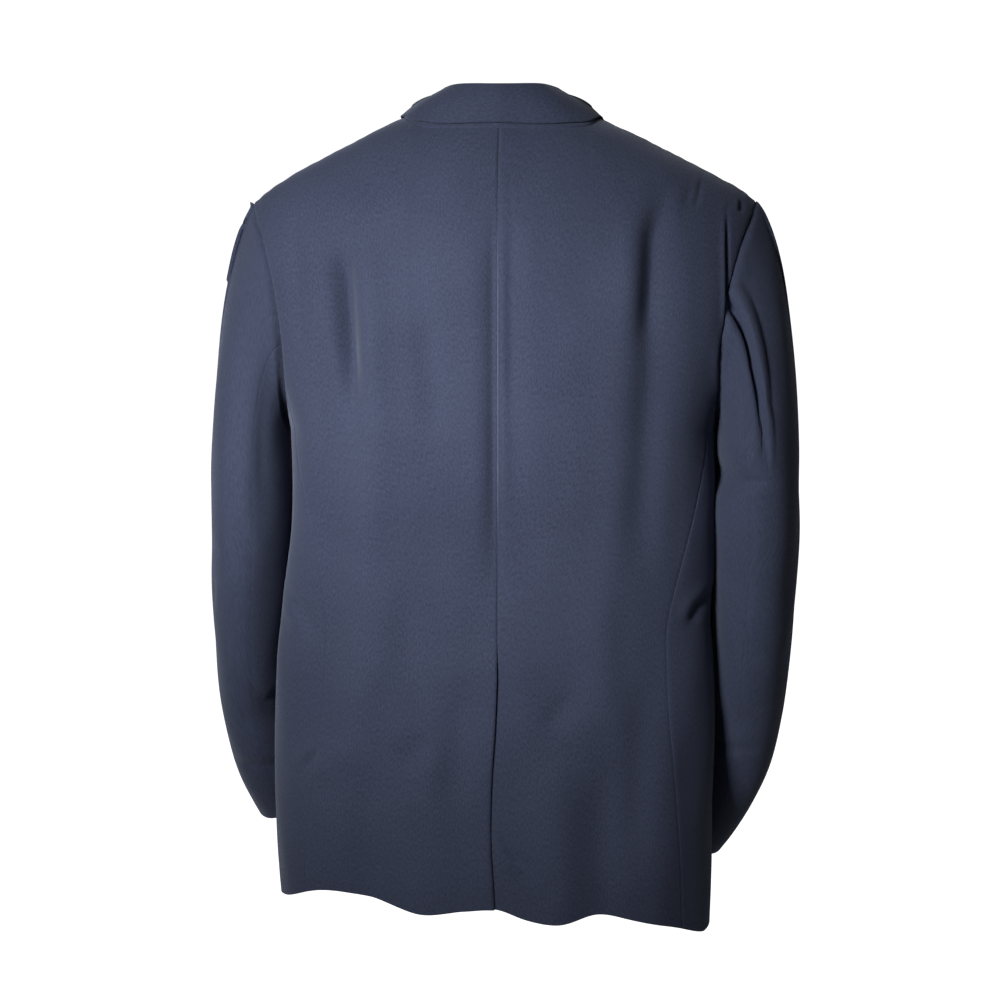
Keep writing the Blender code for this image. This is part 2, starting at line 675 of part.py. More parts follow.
def add_sleeve(name, side):
    """Two pieces: the top sleeve over the outside of the arm and the under sleeve along the body."""
    grid, turns = sleeve_grid(side)
    grid = fold_sleeve(side, grid, turns, ring_normals(grid, side))
    normals = ring_normals(grid, side)
    hind_seam = UPPER_ROWS - 1
    fore_seam = len(turns) - UPPER_ROWS
    under = np.arange(hind_seam, fore_seam + 1)
    over = np.concatenate([np.arange(fore_seam, len(turns) - 1), np.arange(0, hind_seam + 1)])
    for piece, columns in (("under_sleeve_", under), ("top_sleeve_", over)):
        outer = inset(grid[:, columns], low_row=0.0, high_row=0.0)
        add_wall(piece + name, outer, normals[:, columns])


def collar_feet(side):
    """Girths and levels of the neck seam on the panels' own points, from the centre back to the gorge."""
    x = neck_places()[::-1]
    front = panel_rows(SIDE_FRONT_SEAM_RISE)[::-1][1 : GORGE_ROW + 1]
    girths = np.concatenate([girth_at(x / SHOULDER_HALF), front_girths(side, front)])
    levels = np.concatenate([level_of(neck_rise(x)), front])
    places = np.concatenate(
        [np.linspace(0.0, 0.5, NECK_COLUMNS + 1), np.linspace(0.5, 1.0, GORGE_ROW + 1)[1:]]
    )
    return girths, levels, places


def collar_half(side):
    """Sections of half of the collar, centre back to gorge, each from the neck seam over to the edge."""
    girths, levels, places = collar_feet(side)
    feet = body(side, girths, levels)
    normals = body_normals(side, girths, np.minimum(levels, 0.999))
    neckward = unit(np.cross(normals, np.gradient(feet, axis=0)))
    neckward *= np.sign((neckward * (np.array(NECK_MIDDLE) - feet)).sum(axis=-1))[:, None]
    sections = []
    for foot, inward, place in zip(feet, neckward, places):
        roll = np.array([column_at(COLLAR_LINE, column, place) for column in (1, 2, 3)])
        roll *= (side, 1.0, 1.0)
        edge_x, edge_z = column_at(COLLAR_EDGE, 1, place), column_at(COLLAR_EDGE, 2, place)
        edge_place = (back_place if place <= 0.5 else front_place)(side, edge_x, edge_z)
        edge_normal = body_normals(side, *edge_place)
        edge = body(side, *edge_place) + edge_normal * (COLLAR_SEAT + WALL)
        up = unit(roll - foot)
        out = edge - roll
        out = unit(out - up * (out @ up))
        foot = foot + inward * COLLAR_FOOT_GAP - out * WALL
        top = roll + out * COLLAR_ROLL
        section = [foot + (roll - foot) * t for t in (0.0, 0.5, 1.0)]
        for turn in (math.pi / 4, math.pi / 2, 3 * math.pi / 4):
            section.append(top - out * COLLAR_ROLL * math.cos(turn) + up * COLLAR_ROLL * math.sin(turn))
        start = roll + out * COLLAR_ROLL * 2
        for t in (0.0, 0.33, 0.67, 1.0):
            section.append(start + (edge - start) * t + edge_normal * COLLAR_BOW * math.sin(math.pi * t))
        sections.append(section)
    return np.array(sections)


def add_collar():
    left, right = collar_half(LEFT), collar_half(RIGHT)
    grid = np.concatenate([left[::-1], right[1:]])
    along = np.gradient(grid, axis=0)
    over = np.gradient(grid, axis=1)
    normals = unit(np.cross(over, along))
    add_wall("collar", grid, normals)


def add_lapel(name, side):
    """Turned back from the roll line and lying on the front."""
    share = np.linspace(0.0, 1.0, LAPEL_ROWS + 1)
    gorge = panel_rows(SIDE_FRONT_SEAM_RISE)[-1 - GORGE_ROW]
    low = ROLL_END_LEVEL + LAPEL_FOOT_LEVEL
    levels = low + (gorge - LAPEL_GORGE_LEVEL - ROLL_END_LEVEL) * share
    roll_x = column_at(FRONT_EDGE, 1, levels)
    roll = smooth_body(side, front_girths(side, levels), levels)
    x_start = np.abs(roll_x) + LAPEL_UNDER_SHIFT if side == RIGHT else roll_x
    width = column_at(LAPEL_WIDTH, 1, share)
    across = np.linspace(0.0, 1.0, LAPEL_COLUMNS + 1)
    x = x_start[:, None] + width[:, None] * across[None, :]
    drop = LAPEL_DROP * smooth_step((share - LAPEL_DROP_START) / (1 - LAPEL_DROP_START))
    z = roll[:, 2][:, None] - drop[:, None] * np.minimum(across / 0.5, 1.0)[None, :]
    girths, places = front_place(side, x, z)
    outer = body(side, girths, places)
    normals = body_normals(side, girths, places)
    bulge = LAPEL_ROLL * (4 * across * (1 - across)) * (width / width.max())[:, None]
    outer = outer + normals * (LAPEL_CLEARANCE + WALL + bulge)[..., None]
    return add_wall("lapel_" + name, outer, normals)


def add_flap(name, side):
    """A hip pocket's flap, lying on the front."""
    girths = np.linspace(FLAP_OUTER, FLAP_INNER, FLAP_COLUMNS + 1)
    hem = smooth_body(side, girths, -np.ones_like(girths))[:, 2]
    heights = FLAP_TOP - FLAP_DEPTH * np.linspace(0.0, 1.0, FLAP_ROWS + 1)
    levels = (CHEST_HEIGHT - heights)[:, None] / (hem - CHEST_HEIGHT)[None, :]
    girths = np.repeat(girths[None, :], FLAP_ROWS + 1, axis=0)
    normals = body_normals(side, girths, levels)
    outer = body(side, girths, levels) + normals * (LAPEL_CLEARANCE + WALL)
    return add_wall("pocket_flap_" + name, outer, normals)


def add_button(name, height):
    """A sewn-on button with a raised rim, on the left front."""
    girth, level = front_place(LEFT, np.array(0.0), np.array(height))
    centre, normal = body(LEFT, girth, level), body_normals(LEFT, girth, level)
    side_way = unit(np.cross(np.array([0.0, 0.0, 1.0]), normal))
    up = np.cross(normal, side_way)
    # share of the radius, share of the thickness
    profile = ((0.80, 0.0), (1.0, 0.25), (1.0, 0.75), (0.90, 1.0), (0.72, 0.92), (0.60, 0.70))
    count = BUTTON_SIDES
    base = centre + normal * BUTTON_SEAT
    points = []
    for radius, rise in profile:
        for step in range(count):
            turn = 2 * math.pi * step / count
            arm = side_way * math.cos(turn) + up * math.sin(turn)
            points.append(base + arm * radius * BUTTON_RADIUS + normal * rise * BUTTON_THICKNESS)
    faces = [tuple(range(count))[::-1], tuple(range((len(profile) - 1) * count, len(profile) * count))]
    for ring in range(len(profile) - 1):
        for step in range(count):
            a, b = ring * count + step, ring * count + (step + 1) % count
            faces.append((a, b, b + count, a + count))
    turning = np.cross(side_way, up) @ normal
    faces = faces if turning > 0 else [face[::-1] for face in faces]
    return add_mesh("button_" + name, points, faces, BUTTON_COLOUR, 0.4)


def main():
    clear_scene()
    for name, side in SIDES:
        back_panel("back_" + name, side)
        side_panel("side_" + name, side)
        front_panel("front_" + name, side)
        add_sleeve(name, side)
        add_lapel(name, side)
        add_flap(name, side)
    add_collar()
    for name, height in BUTTON_HEIGHTS:
        add_button(name, height)


main()
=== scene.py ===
"""The blazer's looks: each panel of cloth is a fine shell on the form of its solid, with seams and creases,
and each button has its rim, holes and thread.

Metres, +Z up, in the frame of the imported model: the front faces -Y and the wearer's left is +X. A place on
the body is a girth and a level: girth runs over one half, from -1 at the centre front by 0 at the side to 1
at the centre back, and level runs from -1 at the hem by 0 at the chest to 1 at the shoulder line.
"""

import math

import bpy
import numpy as np
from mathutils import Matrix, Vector


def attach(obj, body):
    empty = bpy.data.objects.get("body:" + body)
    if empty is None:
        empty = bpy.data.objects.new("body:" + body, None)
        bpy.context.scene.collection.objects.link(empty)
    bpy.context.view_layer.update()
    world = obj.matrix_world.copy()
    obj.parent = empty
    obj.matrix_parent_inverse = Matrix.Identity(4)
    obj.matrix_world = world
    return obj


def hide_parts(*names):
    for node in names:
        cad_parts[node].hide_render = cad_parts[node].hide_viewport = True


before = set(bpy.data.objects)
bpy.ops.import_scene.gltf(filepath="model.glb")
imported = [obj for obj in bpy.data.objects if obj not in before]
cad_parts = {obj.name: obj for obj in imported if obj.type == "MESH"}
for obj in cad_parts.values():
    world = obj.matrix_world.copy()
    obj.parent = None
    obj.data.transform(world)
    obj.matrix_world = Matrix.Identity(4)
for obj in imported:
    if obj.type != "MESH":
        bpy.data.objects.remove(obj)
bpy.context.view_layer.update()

# Halves of the garment, by the wearer's side
LEFT, RIGHT = 1.0, -1.0
SIDES = (("left", LEFT), ("right", RIGHT))

# Body
CHEST_HEIGHT = -0.300
SHOULDER_HALF = 0.251
RING_SQUARENESS = 2.6
SHOULDER_ROUNDING = 3.0
NECK_HALF = 0.088
NECK_DIP = 0.091
# height, left half width, right half width, depth of the back, depth of the front
BODY_RINGS = (
    (-0.300, 0.2135, 0.2135, 0.118, 0.122),
    (-0.360, 0.2130, 0.2160, 0.113, 0.118),
    (-0.400, 0.2150, 0.2170, 0.108, 0.114),
    (-0.450, 0.2210, 0.2150, 0.105, 0.111),
    (-0.490, 0.2245, 0.2120, 0.105, 0.111),
    (-0.530, 0.2290, 0.2150, 0.108, 0.113),
    (-0.600, 0.2325, 0.2170, 0.113, 0.117),
    (-0.700, 0.2340, 0.2165, 0.117, 0.119),
    (-0.830, 0.2270, 0.2160, 0.117, 0.119),
)
# half widths that shares across the hem and across the vent are taken of
HEM_HALF, VENT_HALF = BODY_RINGS[-1][1], BODY_RINGS[-2][1]
# distance from the centre, height of the shoulder line
SHOULDER_LINE = (
    (0.000, 0.030),
    (0.050, 0.023),
    (0.088, 0.010),
    (0.120, -0.0036),
    (0.155, -0.0214),
    (0.187, -0.0373),
    (0.215, -0.0518),
    (0.237, -0.065),
    (0.251, -0.076),
)
# place across the back, positive to the wearer's left, and height of the hem
HEM_LINE = (
    (0.230, -0.788),
    (0.179, -0.762),
    (0.129, -0.763),
    (0.074, -0.7735),
    (0.031, -0.769),
    (0.000, -0.768),
    (-0.030, -0.778),
    (-0.062, -0.7815),
    (-0.108, -0.7755),
    (-0.150, -0.784),
    (-0.190, -0.797),
    (-0.217, -0.812),
)
FRONT_HEM = -0.806

# Armhole, an ellipse in girth and in the rise from chest to shoulder line
ARMHOLE_BACK = 0.235
ARMHOLE_FRONT = 0.300
SIDE_BACK_SEAM_RISE = 0.165
SIDE_FRONT_SEAM_RISE = 0.096
# height, girth of the seam between back and side, girth of the seam between front and side
SIDE_SEAMS = (
    (-0.262, 0.1745, -0.1767),
    (-0.320, 0.182, -0.180),
    (-0.360, 0.232, -0.186),
    (-0.420, 0.304, -0.198),
    (-0.480, 0.352, -0.202),
    (-0.530, 0.365, -0.202),
    (-0.610, 0.352, -0.198),
    (-0.700, 0.319, -0.194),
    (-0.800, 0.289, -0.190),
)
# level, distance from the centre of the front's edge: neck, roll line, buttoned edge, cut-away lower corner
FRONT_EDGE = (
    (1.000, 0.0880),
    (0.880, 0.0865),
    (0.760, 0.0840),
    (0.640, 0.0800),
    (0.512, 0.0750),
    (0.391, 0.0630),
    (0.171, 0.0340),
    (0.000, 0.0040),
    (-0.150, -0.0180),
    (-0.300, -0.0180),
    (-0.500, -0.0180),
    (-0.600, -0.0130),
    (-0.700, -0.0020),
    (-0.800, 0.0160),
    (-0.900, 0.0420),
    (-0.960, 0.0660),
    (-1.000, 0.1050),
)
GORGE_ROW = 5
ROLL_END_LEVEL = -0.150
LAP_START, LAP_FULL = 0.060, 0.022
LAP = 0.0028

# Centre vent of the back: the left edge laps over the right
VENT_TOP = -0.536
VENT_UNDERLAP = 0.036
VENT_LIFT = 0.0032
VENT_EASE = 0.040
VENT_SPREAD = 0.80
VENT_START, VENT_FULL = 0.085, 0.040
VENT_SHOULDER = 0.012

# Share of a fold's length over which it grows at its top and fades at its bottom
FOLD_HEAD, FOLD_TAIL = 0.22, 0.30
# Folds of the body: half of the body, back or front, distance from the centre at the top and at the bottom,
# height of the top and of the bottom, half width, rise (negative for a trough)
BODY_FOLDS = (
    (LEFT, 1, 0.004, 0.003, -0.060, -0.480, 0.011, -0.0055),
    (RIGHT, 1, 0.014, 0.016, -0.070, -0.420, 0.012, -0.0030),
    (LEFT, 1, 0.128, 0.190, -0.080, -0.690, 0.022, -0.0060),
    (LEFT, 1, 0.105, 0.150, -0.080, -0.720, 0.020, 0.0050),
    (RIGHT, 1, 0.155, 0.133, -0.050, -0.470, 0.018, -0.0060),
    (RIGHT, 1, 0.128, 0.112, -0.060, -0.500, 0.022, 0.0035),
    (LEFT, 1, 0.074, 0.068, -0.560, -0.900, 0.024, 0.0060),
    (LEFT, 1, 0.130, 0.132, -0.600, -0.900, 0.022, -0.0050),
    (RIGHT, 1, 0.055, 0.062, -0.600, -0.900, 0.024, 0.0060),
    (RIGHT, 1, 0.100, 0.108, -0.600, -0.900, 0.020, -0.0055),
    (RIGHT, 1, 0.165, 0.160, -0.580, -0.900, 0.022, 0.0040),
    (LEFT, -1, 0.150, 0.135, -0.100, -0.420, 0.020, -0.0050),
    (RIGHT, -1, 0.150, 0.135, -0.100, -0.420, 0.020, -0.0050),
    (LEFT, -1, 0.120, 0.130, -0.600, -0.900, 0.026, 0.0045),
    (RIGHT, -1, 0.130, 0.115, -0.600, -0.900, 0.026, 0.0045),
)

# Sleeves: height, place across, place in depth, half width, half depth of each ring, for each arm
LEFT_SLEEVE = (
    (-0.345, 0.2563, -0.002, 0.0408, 0.083),
    (-0.405, 0.2574, -0.003, 0.0397, 0.081),
    (-0.450, 0.2603, -0.006, 0.0382, 0.078),
    (-0.515, 0.2637, -0.019, 0.0344, 0.073),
    (-0.585, 0.2647, -0.042, 0.0315, 0.067),
    (-0.632, 0.2615, -0.060, 0.0315, 0.063),
    (-0.672, 0.2540, -0.079, 0.0320, 0.060),
    (-0.703, 0.2460, -0.095, 0.0300, 0.058),
)
RIGHT_SLEEVE = (
    (-0.345, 0.2579, -0.002, 0.0406, 0.083),
    (-0.405, 0.2597, -0.003, 0.0412, 0.081),
    (-0.450, 0.2578, -0.006, 0.0411, 0.078),
    (-0.520, 0.2564, -0.020, 0.0396, 0.073),
    (-0.590, 0.2540, -0.042, 0.0380, 0.067),
    (-0.648, 0.2470, -0.064, 0.0354, 0.063),
    (-0.697, 0.2350, -0.090, 0.0310, 0.060),
    (-0.741, 0.2200, -0.117, 0.0265, 0.058),
)
SLEEVE_SQUARENESS = 2.2
# share of the sleeve's length over which the way down it is taken
RING_STEP = 0.01
# how much the lift and the pull under the arm keep to its underside
UNDERARM_POWER = 3
# Pull of the sleeve head along the shoulder, of the sleeve under the arm, and of both into the upper arm
HEAD_PULL, UNDERARM_PULL, ARM_PULL = 0.56, 0.37, 1.00
HEAD_SPACING = 1.3
CAP_LIFT, UNDERARM_LIFT = math.radians(12), math.radians(80)
# Folds of the sleeves: half of the body, turn round the sleeve in degrees (0 outside, 90 back), height,
# half width of the turn, half width of the height, rise
SLEEVE_FOLDS = (
    (RIGHT, 150.0, -0.345, 40.0, 0.016, -0.0080),
    (RIGHT, 120.0, -0.310, 45.0, 0.022, 0.0040),
    (LEFT, 130.0, -0.600, 45.0, 0.020, -0.0040),
    (RIGHT, 110.0, -0.600, 45.0, 0.020, -0.0030),
    (LEFT, 265.0, -0.430, 40.0, 0.022, -0.0060),
    (RIGHT, 265.0, -0.430, 40.0, 0.022, -0.0060),
)
# Soft swellings of the sleeves towards the body, in the columns of SLEEVE_FOLDS
SLEEVE_SWELLINGS = (
    (RIGHT, 178.0, -0.380, 48.0, 0.050, 0.0084),
    (LEFT, 176.0, -0.400, 44.0, 0.070, 0.0030),
)

# Collar: a stand that leans in from the neck seam, rolls over and falls outside it
COLLAR_ROLL = 0.0042
COLLAR_BOW = 0.0034
NECK_MIDDLE = (0.0, -0.03, 0.03)
# place along half the collar from the centre back (0) to the gorge (1), place and height of the roll
COLLAR_LINE = (
    (0.00, 0.0000, 0.0480, 0.0300),
    (0.17, 0.0300, 0.0430, 0.0300),
    (0.25, 0.0405, 0.0380, 0.0295),
    (0.33, 0.0495, 0.0300, 0.0285),
    (0.42, 0.0560, 0.0180, 0.0265),
    (0.50, 0.0595, -0.0020, 0.0235),
    (0.60, 0.0600, -0.0240, 0.0150),
    (0.70, 0.0615, -0.0450, 0.0010),
    (0.80, 0.0640, -0.0650, -0.0160),
    (0.90, 0.0685, -0.0840, -0.0380),
    (1.00, 0.0725, -0.1000, -0.0715),
)
# place along half the collar, distance from the centre and height of the fall's edge on the body
COLLAR_EDGE = (
    (0.00, 0.0000, -0.0035),
    (0.17, 0.0500, -0.0045),
    (0.33, 0.0840, -0.0010),
    (0.50, 0.0990, 0.0045),
    (0.60, 0.1075, -0.0040),
    (0.70, 0.1150, -0.0180),
    (0.80, 0.1210, -0.0360),
    (0.90, 0.1255, -0.0560),
    (1.00, 0.1040, -0.0880),
)

# Lapels: share of the way from the roll's end to the gorge, width across
LAPEL_WIDTH = (
    (0.00, 0.004),
    (0.25, 0.030),
    (0.50, 0.050),
    (0.75, 0.064),
    (0.90, 0.070),
    (1.00, 0.064),
)
LAPEL_CLEARANCE = 0.0006
LAPEL_ROLL = 0.0035
# levels left free above the roll's end and below the gorge
LAPEL_FOOT_LEVEL, LAPEL_GORGE_LEVEL = 0.010, 0.022
# shift of the under lapel; fall of the upper edge, and the shares of the length and the width where it starts
# and where it is full
LAPEL_UNDER_SHIFT = 0.003
LAPEL_DROP, LAPEL_DROP_START, LAPEL_DROP_WIDTH = 0.014, 0.75, 0.5
# width over which the lapel rolls back, and how much of the roll's height is gone at its outer edge
ROLL_WIDTH, ROLL_FADE = 0.012, 0.75

# Pocket flaps: height of the top, depth, length; girth of the inner and the outer end; radius of the lower
# corners, curl, share of a seam's depth along the hem
FLAP_TOP, FLAP_DEPTH, FLAP_LENGTH = -0.560, 0.052, 0.120
FLAP_INNER, FLAP_OUTER = -0.640, -0.235
FLAP_CORNER, FLAP_CURL, FLAP_SEAM_DEPTH = 0.014, 0.0006, 0.6

# Buttons
BUTTON_RADIUS, BUTTON_THICKNESS = 0.0100, 0.0032
BUTTON_SEAT = 0.0003
BUTTON_HEIGHTS = (("upper", -0.425), ("lower", -0.530))
# share of the radius and of the thickness along a button's turned profile
BUTTON_PROFILE = (
    (0.70, 0.00),
    (0.93, 0.06),
    (1.00, 0.30),
    (1.00, 0.62),
    (0.97, 0.86),
    (0.91, 1.00),
    (0.83, 0.98),
    (0.76, 0.84),
    (0.66, 0.72),
    (0.30, 0.66),
)
BUTTON_STEPS, HOLE_STEPS, SHARP_ANGLE = 64, 16, math.radians(40)
HOLE_RADIUS, HOLE_PLACE = 0.0010, 0.0021
# a hole's cutter starts one thickness below the button and is this many thicknesses long
HOLE_LENGTH = 3.0
# thread: radius, share of the button's thickness where it starts, height of its arch, points along it
THREAD_RADIUS, THREAD_FOOT, THREAD_ARCH, THREAD_STEPS = 0.00045, 0.45, 0.0014, 14

# Step in girth and level over which a surface's normal is taken, and the share of it that is taken towards
# the shoulder line, where the surface ends
NORMAL_STEP, STEP_UP = 1e-3, 0.9
# What counts as nothing in a level or a turn
SMALL = 1e-6
# Highest level of the armhole's and the collar's normals, highest rise of a place on the front or the back
ARMHOLE_TOP, COLLAR_TOP, HIGHEST_RISE = 0.9995, 0.999, 0.9999
# Points of the table that turns shares of the body's width into girths; guesses that find a seam's girth
RING_POINTS, SEAM_GUESSES = 4001, 3

# Shell of the cloth: thickness, roll of its free edges
SHELL, EDGE_ROLL = 0.0018, 0.0006
# Seams: how far the cloth dips into them, over what width, how far its edges are drawn in, and how much
# further the inner side is turned in
SEAM_DIP, SEAM_ROLL, SEAM_CLOSE, SEAM_DEPTH = 0.0009, 0.0024, 0.00004, 0.0022
# share of that depth along the side seams, the sleeves' seams and the front's side seam, and along the
# centre back at heights
SIDE_SEAM_DEPTH, SLEEVE_SEAM_DEPTH, FRONT_SEAM_DEPTH = 0.45, 0.18, 0.9
CENTRE_SEAM_DEPTH = (
    (-0.050, 0.40),
    (-0.300, 0.45),
    (-0.430, 0.30),
    (-0.520, 0.08),
    (-0.600, 0.10),
    (-0.640, 0.70),
    (-0.850, 0.90),
)
# Pucker along the seams: height, length of one, reach from the seam, sway of its spacing and the sway's waves
# per metre (as an angle)
SEAM_PUCKER, PUCKER_LENGTH, PUCKER_REACH = 0.00035, 0.016, 0.010
PUCKER_SWAY, PUCKER_SWAY_RATE = 2.3, 61
# Uneven waves of the cloth: length, height, seed; sines in each set, spread of their lengths, share upright
CLOTH_WAVES = (
    (0.190, 0.0016, 3),
    (0.085, 0.0007, 11),
    (0.034, 0.00022, 23),
)
WAVE_COUNT, WAVE_SPREAD, WAVE_UPRIGHT = 6, (0.75, 1.5), 0.55

# Creases of the back: half width, rise (negative for a trough), share of the ridge beside it (positive
# towards the wearer's left), then the places across (positive to the wearer's left) and the heights that
# the crease runs through
BACK_CREASES = (
    (0.0018, -0.0042, 0.4, ((-0.2190, -0.083), (-0.2185, -0.120), (-0.2190, -0.160), (-0.2200, -0.215))),
    (0.0100, -0.0056, 0.5, ((-0.1580, -0.072), (-0.1470, -0.110), (-0.1450, -0.160), (-0.1420, -0.215))),
    (0.0026, -0.0020, 0.4, ((-0.1955, -0.052), (-0.1920, -0.070), (-0.1870, -0.085))),
    (0.0026, -0.0018, 0.4, ((-0.2340, -0.074), (-0.2335, -0.088))),
    (0.0100, -0.0090, -0.7, ((0.1440, -0.100), (0.1460, -0.140), (0.1440, -0.200), (0.1400, -0.270))),
    (0.0080, -0.0036, -0.5, ((0.1960, -0.100), (0.1930, -0.160), (0.1880, -0.225))),
    (0.0042, -0.0034, -0.7, ((0.0035, -0.055), (0.0030, -0.200), (0.0030, -0.345), (0.0025, -0.430))),
    (0.0070, -0.0022, 0.5, ((-0.0120, -0.075), (-0.0125, -0.180), (-0.0130, -0.290))),
    (0.0090, -0.0030, 0.4, ((0.1650, -0.090), (0.1480, -0.160), (0.1390, -0.265), (0.1430, -0.310))),
    (0.0080, -0.0026, -0.5, ((0.1680, -0.190), (0.1640, -0.270), (0.1610, -0.345))),
    (0.0150, -0.0036, 0.4, ((0.0700, -0.170), (0.0640, -0.240), (0.0560, -0.315))),
    (0.0060, -0.0014, 0.5, ((-0.1860, -0.060), (-0.1780, -0.088))),
    (0.0035, -0.0030, 0.4, ((-0.2180, -0.205), (-0.2160, -0.230), (-0.2200, -0.270))),
    (0.0055, -0.0042, 0.5, ((0.2120, -0.468), (0.1970, -0.482), (0.1880, -0.500))),
    (0.0050, -0.0042, 0.5, ((-0.2120, -0.462), (-0.1960, -0.474), (-0.1880, -0.490))),
    (0.0045, -0.0036, 0.5, ((0.1820, -0.616), (0.1950, -0.636), (0.1990, -0.640))),
    (0.0140, -0.0032, 0.5, ((0.0640, -0.590), (0.0800, -0.610), (0.0980, -0.628))),
    (0.0160, 0.0034, 0.0, ((0.1450, -0.606), (0.1700, -0.625), (0.1900, -0.645))),
    (0.0120, -0.0028, 0.5, ((-0.0470, -0.588), (-0.0620, -0.568), (-0.0750, -0.552))),
    (0.0034, -0.0030, 0.6, ((-0.0020, -0.682), (-0.0150, -0.712), (-0.0320, -0.726))),
    (0.0100, -0.0012, 0.5, ((-0.0500, -0.733), (-0.0540, -0.760))),
    (0.0180, 0.0042, 0.0, ((0.1050, -0.420), (0.1120, -0.500), (0.1200, -0.570))),
    (0.0180, -0.0040, 0.0, ((0.0300, -0.520), (0.0380, -0.600), (0.0450, -0.680))),
    (0.0180, 0.0036, 0.0, ((-0.0950, -0.430), (-0.1000, -0.520), (-0.1080, -0.600))),
    (0.0160, -0.0034, 0.0, ((-0.1450, -0.520), (-0.1420, -0.620), (-0.1350, -0.720))),
)
# Creases of the front, in the columns of BACK_CREASES
FRONT_CREASES = (
    (0.0100, -0.0022, 0.5, ((0.1750, -0.110), (0.1600, -0.200), (0.1500, -0.300))),
    (0.0100, -0.0022, -0.5, ((-0.1750, -0.110), (-0.1620, -0.210), (-0.1500, -0.310))),
    (0.0090, -0.0020, 0.5, ((0.0300, -0.432), (0.0800, -0.420), (0.1300, -0.432))),
    (0.0090, -0.0018, 0.5, ((-0.0250, -0.440), (-0.0750, -0.424), (-0.1200, -0.430))),
    (0.0070, -0.0014, 0.5, ((0.0240, -0.450), (0.0600, -0.470), (0.0900, -0.500))),
    (0.0070, -0.0014, 0.5, ((-0.0240, -0.455), (-0.0650, -0.480), (-0.0900, -0.505))),
    (0.0140, -0.0022, 0.0, ((0.0800, -0.640), (0.0860, -0.720), (0.0900, -0.800))),
    (0.0140, -0.0022, 0.0, ((-0.0820, -0.640), (-0.0880, -0.720), (-0.0900, -0.800))),
)
# Creases of the sleeves: half of the body, half width, rise, share of the ridge beside it, then the turns
# round the sleeve in degrees (0 outside, 90 back, 180 at the body) and the heights
SLEEVE_CREASES = (
    (LEFT, 0.0060, -0.0022, 0.5, ((60, -0.660), (95, -0.655), (130, -0.662), (160, -0.650))),
    (LEFT, 0.0080, -0.0016, 0.5, ((75, -0.345), (85, -0.390), (115, -0.430))),
    (LEFT, 0.0080, -0.0014, 0.5, ((40, -0.450), (30, -0.480))),
    (LEFT, 0.0070, -0.0018, 0.5, ((95, -0.560), (130, -0.585), (165, -0.580))),
    (LEFT, 0.0100, -0.0020, 0.0, ((110, -0.200), (120, -0.300), (125, -0.380))),
    (LEFT, 0.0070, -0.0022, 0.5, ((230, -0.400), (265, -0.420), (305, -0.415))),
    (LEFT, 0.0060, -0.0018, 0.5, ((235, -0.455), (265, -0.462), (300, -0.450))),
    (RIGHT, 0.0080, -0.0012, 0.5, ((105, -0.215), (80, -0.270), (60, -0.285))),
    (RIGHT, 0.0050, -0.0028, 0.5, ((165, -0.352), (135, -0.352), (105, -0.346), (75, -0.346))),
    (RIGHT, 0.0060, -0.0018, 0.5, ((150, -0.625), (105, -0.630), (60, -0.628))),
    (RIGHT, 0.0090, -0.0018, 0.5, ((130, -0.470), (110, -0.510), (85, -0.540))),
    (RIGHT, 0.0100, -0.0020, 0.0, ((110, -0.380), (112, -0.440), (105, -0.500))),
    (RIGHT, 0.0070, -0.0022, 0.5, ((230, -0.400), (265, -0.425), (305, -0.412))),
    (RIGHT, 0.0060, -0.0018, 0.5, ((235, -0.458), (265, -0.466), (300, -0.452))),
)

# Rows that the solids have above their side seams; the sleeves' seams and the gorge lie on these rows
UPPER_ROWS = 9
# Cells of each shell's grid, and how much closer they are set near its edges
LOW_ROWS, HIGH_ROWS = 150, 100
BACK_OUTER, BACK_NECK, FRONT_CELLS, SIDE_CELLS = 100, 44, 70, 40
CAP_CELLS, SLEEVE_CELLS = 72, 130
TOP_CELLS, UNDER_CELLS = 96, 54
COLLAR_PLACES, STAND_CELLS, ROLL_CELLS, FALL_CELLS = 70, 8, 10, 22
LAPEL_LONG, LAPEL_WIDE = 90, 30
FLAP_WIDE, FLAP_LONG = 44, 20
EDGE_CLOSENESS = 0.78

# Colours, as linear red, green and blue
CLOTH_DARK = (0.0178, 0.0228, 0.0465)
CLOTH_LIGHT = (0.052, 0.064, 0.115)
BUTTON_TONE = (0.012, 0.013, 0.018)
THREAD_TONE = (0.030, 0.034, 0.055)

# Creases: share of one over which it grows and fades, share of its depth at its ends, place and half width of
# the ridge beside it in half widths of the crease; length that stands for one degree round a sleeve
CREASE_FADE, CREASE_END = 0.3, 0.15
RIDGE_PLACE, RIDGE_WIDTH = 2.0, 1.5
DEGREE_LENGTH = 0.0010

# Centre vent: height, and how far its left edge stands back from the centre
VENT_STAND_BACK = (
    (-0.540, 0.0000),
    (-0.580, 0.0015),
    (-0.640, 0.0050),
    (-0.700, 0.0058),
    (-0.740, 0.0035),
    (-0.790, 0.0010),
)

# Tip of the shoulder: girth, level and turn over which its pinched surface is eased, and the slope there
TIP_GIRTH, TIP_LEVEL, TIP_TURN = 0.035, 0.16, math.radians(16)
TIP_SLOPE = math.radians(52)

# Collar: how far the stand's foot reaches down inside the neck seam, its clearance there, seat of the fall
FOOT_TUCK, FOOT_CLEARANCE, FALL_SEAT = 0.0070, 0.0004, 0.0009

# Sleeve head: how deep it lies under the back's edge of the armhole on each side, over what length, and the
# turns in degrees where this starts, is full, begins to fade and ends
HEAD_TUCK = {LEFT: 0.0080, RIGHT: 0.0036}
TUCK_LENGTH, TUCK_TURNS = 0.0050, (18.0, 45.0, 150.0, 185.0)

# Weave: length of the twill and of a yarn, the twill's lean, share of the twill in the weave
TWILL_LENGTH, YARN_LENGTH, TWILL_LEAN, TWILL_SHARE = 0.0011, 0.0007, 1.6, 0.6
